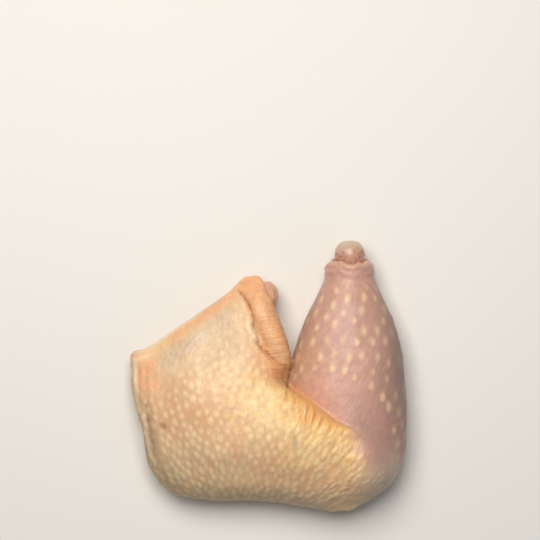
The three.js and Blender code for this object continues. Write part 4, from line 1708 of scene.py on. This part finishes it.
        # painted shade on the thigh's rims, more on its lower side
        edge = self.thigh.reach(self.thigh.turn(x, y)) * (1.0 - self.thigh.share(x, y))
        low = 0.35 + 0.65 * smoothstep(-y, 8.0, 38.0)
        rim = 0.48 * bell(np.maximum(edge, 0.0), 6.5) * low * self.off_drum * self.off_roll
        self.marks["painted_rim_shade"] = rim * (1.0 - bell(self.cut_distance, 9.0)) * (1.0 - PALE_FRILL.over(x, y))
        # painted shade on the drumstick's flanks, stronger on its right side
        middle, _, half_width, _ = self.drumstick.section(y)
        side = (x - middle) / half_width
        flank = bell(half_width * (1.0 - np.minimum(np.abs(side), 1.0)), 8.5)
        self.marks["painted_flank_shade"] = flank * blend(smoothstep(side, -0.5, 0.5), 0.35, 0.85) * self.drum
        # the painted shade on rims, flanks and the lower side is weaker low down
        for name in ("painted_rim_shade", "painted_flank_shade", "olive"):
            self.marks[name] *= 0.3 + 0.7 * smoothstep(z, *self.levels.painted_rim_shade)

    def settle_on_board(self, placing: Placing) -> None:
        """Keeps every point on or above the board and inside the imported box."""
        low, high = (np.array(corner) / MM - placing.shift for corner in CAD_BOX)
        low[2] = FLOOR_CLEARANCE
        self.shell.points = np.clip(self.shell.points, low, high)

    def build(self, placing: Placing, effects: SharedEffects) -> bpy.types.Object:
        """Makes the finished piece."""
        self.shape()
        self.paint()
        self.settle_on_board(placing)
        thing = placing.piece("leg_skin", self.shell, self.finish.material(effects))
        for name, values in self.marks.items():
            mark(thing.data, name, values)
        return thing


@dataclass(frozen=True)
class ThighMeat:
    """The bare meat under the thigh and along its cut side, set into the skin's bed."""

    thigh: Thigh
    level: float = 1.0
    waist: float = 11.0
    bulge: float = 6.0
    overlap: float = 2.2  # how far the meat runs in over the skin's edge
    cut_inset: float = 2.6  # how far it stays behind the skin at the cut side
    flatness: Span = (16.0, 3.4)  # underneath, and towards the cut side
    seams: tuple[PlanLine, ...] = (
        PlanLine(((-58, 2), (-36, -10), (-12, -24), (14, -42), (26, -54))),
        PlanLine(((-40, 22), (-22, 8), (-2, -8), (14, -24))),
        PlanLine(((-50, -30), (-30, -40), (-6, -50))),
    )
    finish: MeatFinish = MeatFinish()

    def _seam_distance(self, points: Array) -> Array:
        """Gives the distance to the nearest seam between two muscles. Noise makes the seams wander."""
        x, y, _ = points.T
        wander = 3.2 * SoftNoise(54, 13.0).at(points * (1.0, 1.0, 0.0))
        return np.min([np.abs(seam.measure(x, y)[0] + wander) for seam in self.seams], axis=0)

    def _relief(self, points: Array) -> Array:
        """Gives the relief underneath: a bank along each seam, swollen muscles and fibres."""
        seam = self._seam_distance(points)
        relief = 1.5 * bell(seam, 1.5) + 0.8 * bell(seam, 5.0) - 0.9
        relief += 0.55 * SoftNoise(51, 9.0).at(points)
        along_fibres = np.array([[0.2, 0.75, 0.0], [0.17, -0.66, 0.0], [0.0, 0.0, 1.0]])
        return relief + 0.22 * SoftNoise(52, 2.2).at(points @ along_fibres)

    def shell(self) -> Shell:
        """Makes the closed meat: a flat-bottomed disc over a smaller outline, with muscles and seams.

        A point lies at share * (reach - inset). Below, its height is the waist minus the drop times
        sqrt(1 - share^flatness), and above, a low dome that stays inside the skin.

        Returns:
            The closed surface.
        """
        thigh = self.thigh
        turn = np.linspace(-math.pi, math.pi, 480, endpoint=False)
        cut = thigh.faces_cut(turn)
        rim = thigh.reach(turn) - blend(cut, thigh.wrap(turn) - self.overlap, self.cut_inset)
        outwards = np.stack([np.cos(turn), np.sin(turn)])

        def rows(share: Array) -> tuple[Array, Array]:
            """Gives X and Y of the rings at some shares of the rim."""
            return thigh.centre[0] + rim * share * outwards[0], thigh.centre[1] + rim * share * outwards[1]

        share = np.sin(0.5 * math.pi * np.arange(1, 31) / 30)[:, None]
        dome = self.waist + self.bulge * np.sqrt(1.0 - (share + 0.0 * turn) ** 3)
        upper = np.stack([*rows(share), dome], -1)

        share = np.sin(0.5 * math.pi * np.arange(139, 0, -1) / 140)[:, None]
        x, y = rows(share)
        z = self.waist - (self.waist - self.level) * np.sqrt(1.0 - share ** blend(cut, *self.flatness))
        relief = self._relief(np.stack([x.ravel(), y.ravel(), z.ravel()], -1)).reshape(x.shape)
        wall = smoothstep(share, 0.9, 0.97) * cut * (relief * 0.6)
        x, y = x - wall * outwards[0], y - wall * outwards[1]
        lower = np.stack([x, y, np.maximum(z + relief, 0.1)], -1)
        top, bottom = (np.array([*thigh.centre, height]) for height in (self.waist + self.bulge, self.level))
        return Shell.from_rows(top, np.vstack([upper, lower]), bottom)

    def build(self, placing: Placing, effects: SharedEffects) -> bpy.types.Object:
        """Makes the finished piece."""
        shell = self.shell()
        x, y, z = shell.points.T
        material = self.finish.material(effects, "raw_meat_thigh")
        thing = placing.piece("thigh_meat", shell, material)
        film = blend(smoothstep(SoftNoise(55, 7.0).at(shell.points), -0.5, 0.4), 0.2, 0.8)
        seam = bell(self._seam_distance(shell.points), 1.5) * (1.0 - smoothstep(z, 4.0, 7.0))
        mark(thing.data, "seam", film * seam)
        edge = self.thigh.reach(self.thigh.turn(x, y)) * (1.0 - self.thigh.share(x, y))
        mark(thing.data, "fatty", bell(np.maximum(edge - self.thigh.skin_wrap, 0.0), 3.4))
        return thing


@dataclass(frozen=True)
class MeatBit:
    """A small lump of meat that shows past the skin: an oval body with uneven relief."""

    name: str
    centre: Triple
    half: Triple
    seed: int
    finish: MeatFinish
    relief: float = 0.5

    def shell(self) -> Shell:
        """Makes the closed lump: centre + half size times the unit direction, pushed out by noise."""
        tilt, turn = rings(70, 110)
        unit = np.stack([np.sin(tilt) * np.cos(turn), np.sin(tilt) * np.sin(turn), np.cos(tilt)], -1)
        points = np.array(self.centre) + unit * np.array(self.half)
        noise = SoftNoise(self.seed, 3.2).at(points.reshape(-1, 3)).reshape(tilt.shape)
        points += unit * (self.relief * noise * np.sin(tilt) ** 0.5)[..., None]
        ends = [np.array(self.centre) + np.array([0.0, 0.0, way * self.half[2]]) for way in (1.0, -1.0)]
        return Shell.from_rows(ends[0], points, ends[1])

    def build(self, placing: Placing, effects: SharedEffects) -> bpy.types.Object:
        """Makes the finished piece."""
        shell = self.shell()
        material = self.finish.material(effects, "raw_" + self.name)
        thing = placing.piece(self.name, shell, material)
        noise = SoftNoise(self.seed + 5, 4.0).at(shell.points)
        mark(thing.data, "seam", smoothstep(noise, 0.25, 0.6) * 0.7)
        mark(thing.data, "fatty", smoothstep(-noise, 0.3, 0.7) * 0.6)
        return thing


@dataclass(frozen=True)
class HockJoint:
    """The end of the shin bone at the hock: two rounded cartilage heads, one above the other."""

    x: float = 39.8
    y: float = 60.2
    radius: float = 7.6
    half_height: float = 5.6
    levels: Span = (9.2, 17.2)
    softness: float = 1.1  # width of the soft maximum between the two heads
    groove: float = 0.1  # share of the radius by which the face between them steps back
    finish: CartilageFinish = CartilageFinish()

    @property
    def end(self) -> float:
        """Gives how far the joint reaches along Y."""
        return self.y + self.radius

    def shell(self) -> Shell:
        """Makes the closed joint: at each height, the soft maximum of the two heads' radii, grooved between.

        A head's radius squared is 1 - up². Where the two are close, overlap² / (4 * softness) is added.
        """
        tilt, turn = rings(110, 150)
        low, high = self.levels[0] - self.half_height, self.levels[1] + self.half_height
        z = (low + high) / 2.0 + (high - low) / 2.0 * np.cos(tilt)
        heads = [1.0 - ((z - level) / self.half_height) ** 2 for level in self.levels]
        overlap = np.maximum(self.softness - np.abs(heads[0] - heads[1]), 0.0)
        square = np.maximum(np.maximum(*heads), 0.0) + overlap**2 / (4.0 * self.softness)
        radius = self.radius * np.sqrt(np.minimum(square, 1.0))
        face = bell(turn - 0.5 * math.pi, 0.35) * bell(z - sum(self.levels) / 2.0, 5.0)
        radius *= 1.0 - self.groove * face
        around = radius * np.cos(turn), radius * np.sin(turn)
        place = np.stack([self.x + around[0], self.y + around[1], z], -1)
        knobs = SoftNoise(83, 5.0).at(place.reshape(-1, 3)).reshape(z.shape)
        x, y = (middle + away * (1.0 + 0.05 * knobs - 0.03) for middle, away in zip((self.x, self.y), around))
        ends = [np.array([self.x, self.y, height]) for height in (high, low)]
        return Shell.from_rows(ends[0], np.stack([x, y, z], -1), ends[1])

    def build(self, placing: Placing, effects: SharedEffects) -> bpy.types.Object:
        """Makes the finished piece."""
        shell = self.shell()
        thing = placing.piece("hock_cartilage", shell, self.finish.material(effects))
        out = shell.points[:, 1] + 1.5 * SoftNoise(84, 2.5).at(shell.points) - self.y
        mark(thing.data, "blood", 1.0 - smoothstep(out, -0.5, 6.5))
        return thing


# --- studio ---------------------------------------------------------------------------------------


@dataclass(frozen=True)
class SoftLight:
    """A square light that faces the leg. Its place and its size are in metres, its power in watts."""

    name: str
    place: Triple
    size: float
    power: float
    tint: str

    def hang(self) -> None:
        """Hangs the light, turned towards the leg."""
        light = bpy.data.lights.new(self.name, "AREA")
        light.size, light.energy, light.color = self.size, self.power, colour(self.tint)[:3]
        thing = put(self.name, light)
        thing.location = self.place
        away = np.array(self.place) / np.linalg.norm(self.place)
        thing.rotation_euler = (math.acos(away[2]), 0.0, math.atan2(away[1], away[0]) + 0.5 * math.pi)


@dataclass(frozen=True)
class Studio:
    """A pale floor, soft light from above and a camera that looks straight down. Sizes are in metres."""

    aim: Point = (0.0007, 0.0514)
    view_width: float = 0.2619
    camera_height: float = 1.62
    focus_distance: float = 1.6  # from the camera down to the level that the view width is taken at
    lights: tuple[SoftLight, ...] = (
        SoftLight("key", (-0.10, 0.34, 0.80), 0.6, 8.0, "fffaf2"),
        SoftLight("fill", (0.65, -0.45, 0.6), 0.9, 0.7, "f2f6ff"),
    )
    sky: str = "f4f6fa"
    sky_strength: float = 0.15
    floor: str = "e9e7e3"
    floor_half: float = 2.5
    floor_thickness: float = 0.02
    floor_roughness: float = 0.7

    def build(self) -> None:
        """Sets up the floor, the lights, the surroundings and the camera."""
        self._floor()
        for light in self.lights:
            light.hang()
        world = bpy.data.worlds.new("studio")
        world.use_nodes = True
        background = world.node_tree.nodes["Background"]
        background.inputs["Color"].default_value = colour(self.sky)
        background.inputs["Strength"].default_value = self.sky_strength
        bpy.context.scene.world = world
        bpy.context.scene.view_settings.view_transform = "Standard"
        self._camera()

    def _floor(self) -> None:
        """Lays the floor: one wide plate whose top is at the board's level."""
        span = (-self.floor_half, self.floor_half)
        corners = list(itertools.product(span, span, (-self.floor_thickness, 0.0)))
        faces = [(0, 1, 3, 2), (4, 6, 7, 5), (0, 4, 5, 1), (2, 3, 7, 6), (0, 2, 6, 4), (1, 5, 7, 3)]
        mesh = bpy.data.meshes.new("floor")
        mesh.from_pydata(corners, [], faces)
        thing = put("floor", mesh)
        material, bench = blank_material("floor_pale")
        shader = bench.node("ShaderNodeBsdfPrincipled")
        shader.inputs["Base Color"].default_value = colour(self.floor)
        shader.inputs["Roughness"].default_value = self.floor_roughness
        bench.feed(bench.node("ShaderNodeOutputMaterial").inputs["Surface"], shader.outputs[0])
        mesh.materials.append(material)

    def _camera(self) -> None:
        """Puts the camera over the aim, looking straight down."""
        camera = bpy.data.cameras.new("camera")
        camera.lens = camera.sensor_width * self.focus_distance / self.view_width
        camera.clip_end = 20.0
        thing = put("camera", camera)
        thing.location = (*self.aim, self.camera_height)
        bpy.context.scene.camera = thing


def main() -> None:
    """Builds the leg piece by piece, then the studio."""
    logging.basicConfig(level=logging.INFO, format="%(name)s: %(message)s")
    effects = SharedEffects()
    thigh, hock = Thigh(), HockJoint()
    skin = LegSkin(thigh, Drumstick(), FlapRoll())
    placing = Placing.onto_frame(thigh.widest_left, hock.end)
    log.info("shift %s mm", np.round(placing.shift, 3))
    skin.build(placing, effects)
    ThighMeat(thigh).build(placing, effects)
    pink = MeatFinish(pink="f5c4a4", red="e2a386", deep="c07862", grain_turn=70.0)
    MeatBit("flap_meat", (-0.4, 40.4, 12.6), (5.6, 6.8, 7.6), 61, pink).build(placing, effects)
    dark = MeatFinish(grain_turn=0.0)
    MeatBit("hock_meat", (39.8, 56.6, 13.2), (9.2, 3.4, 8.8), 71, dark).build(placing, effects)
    hock.build(placing, effects)
    Studio().build()


if __name__ == "__main__":
    main()
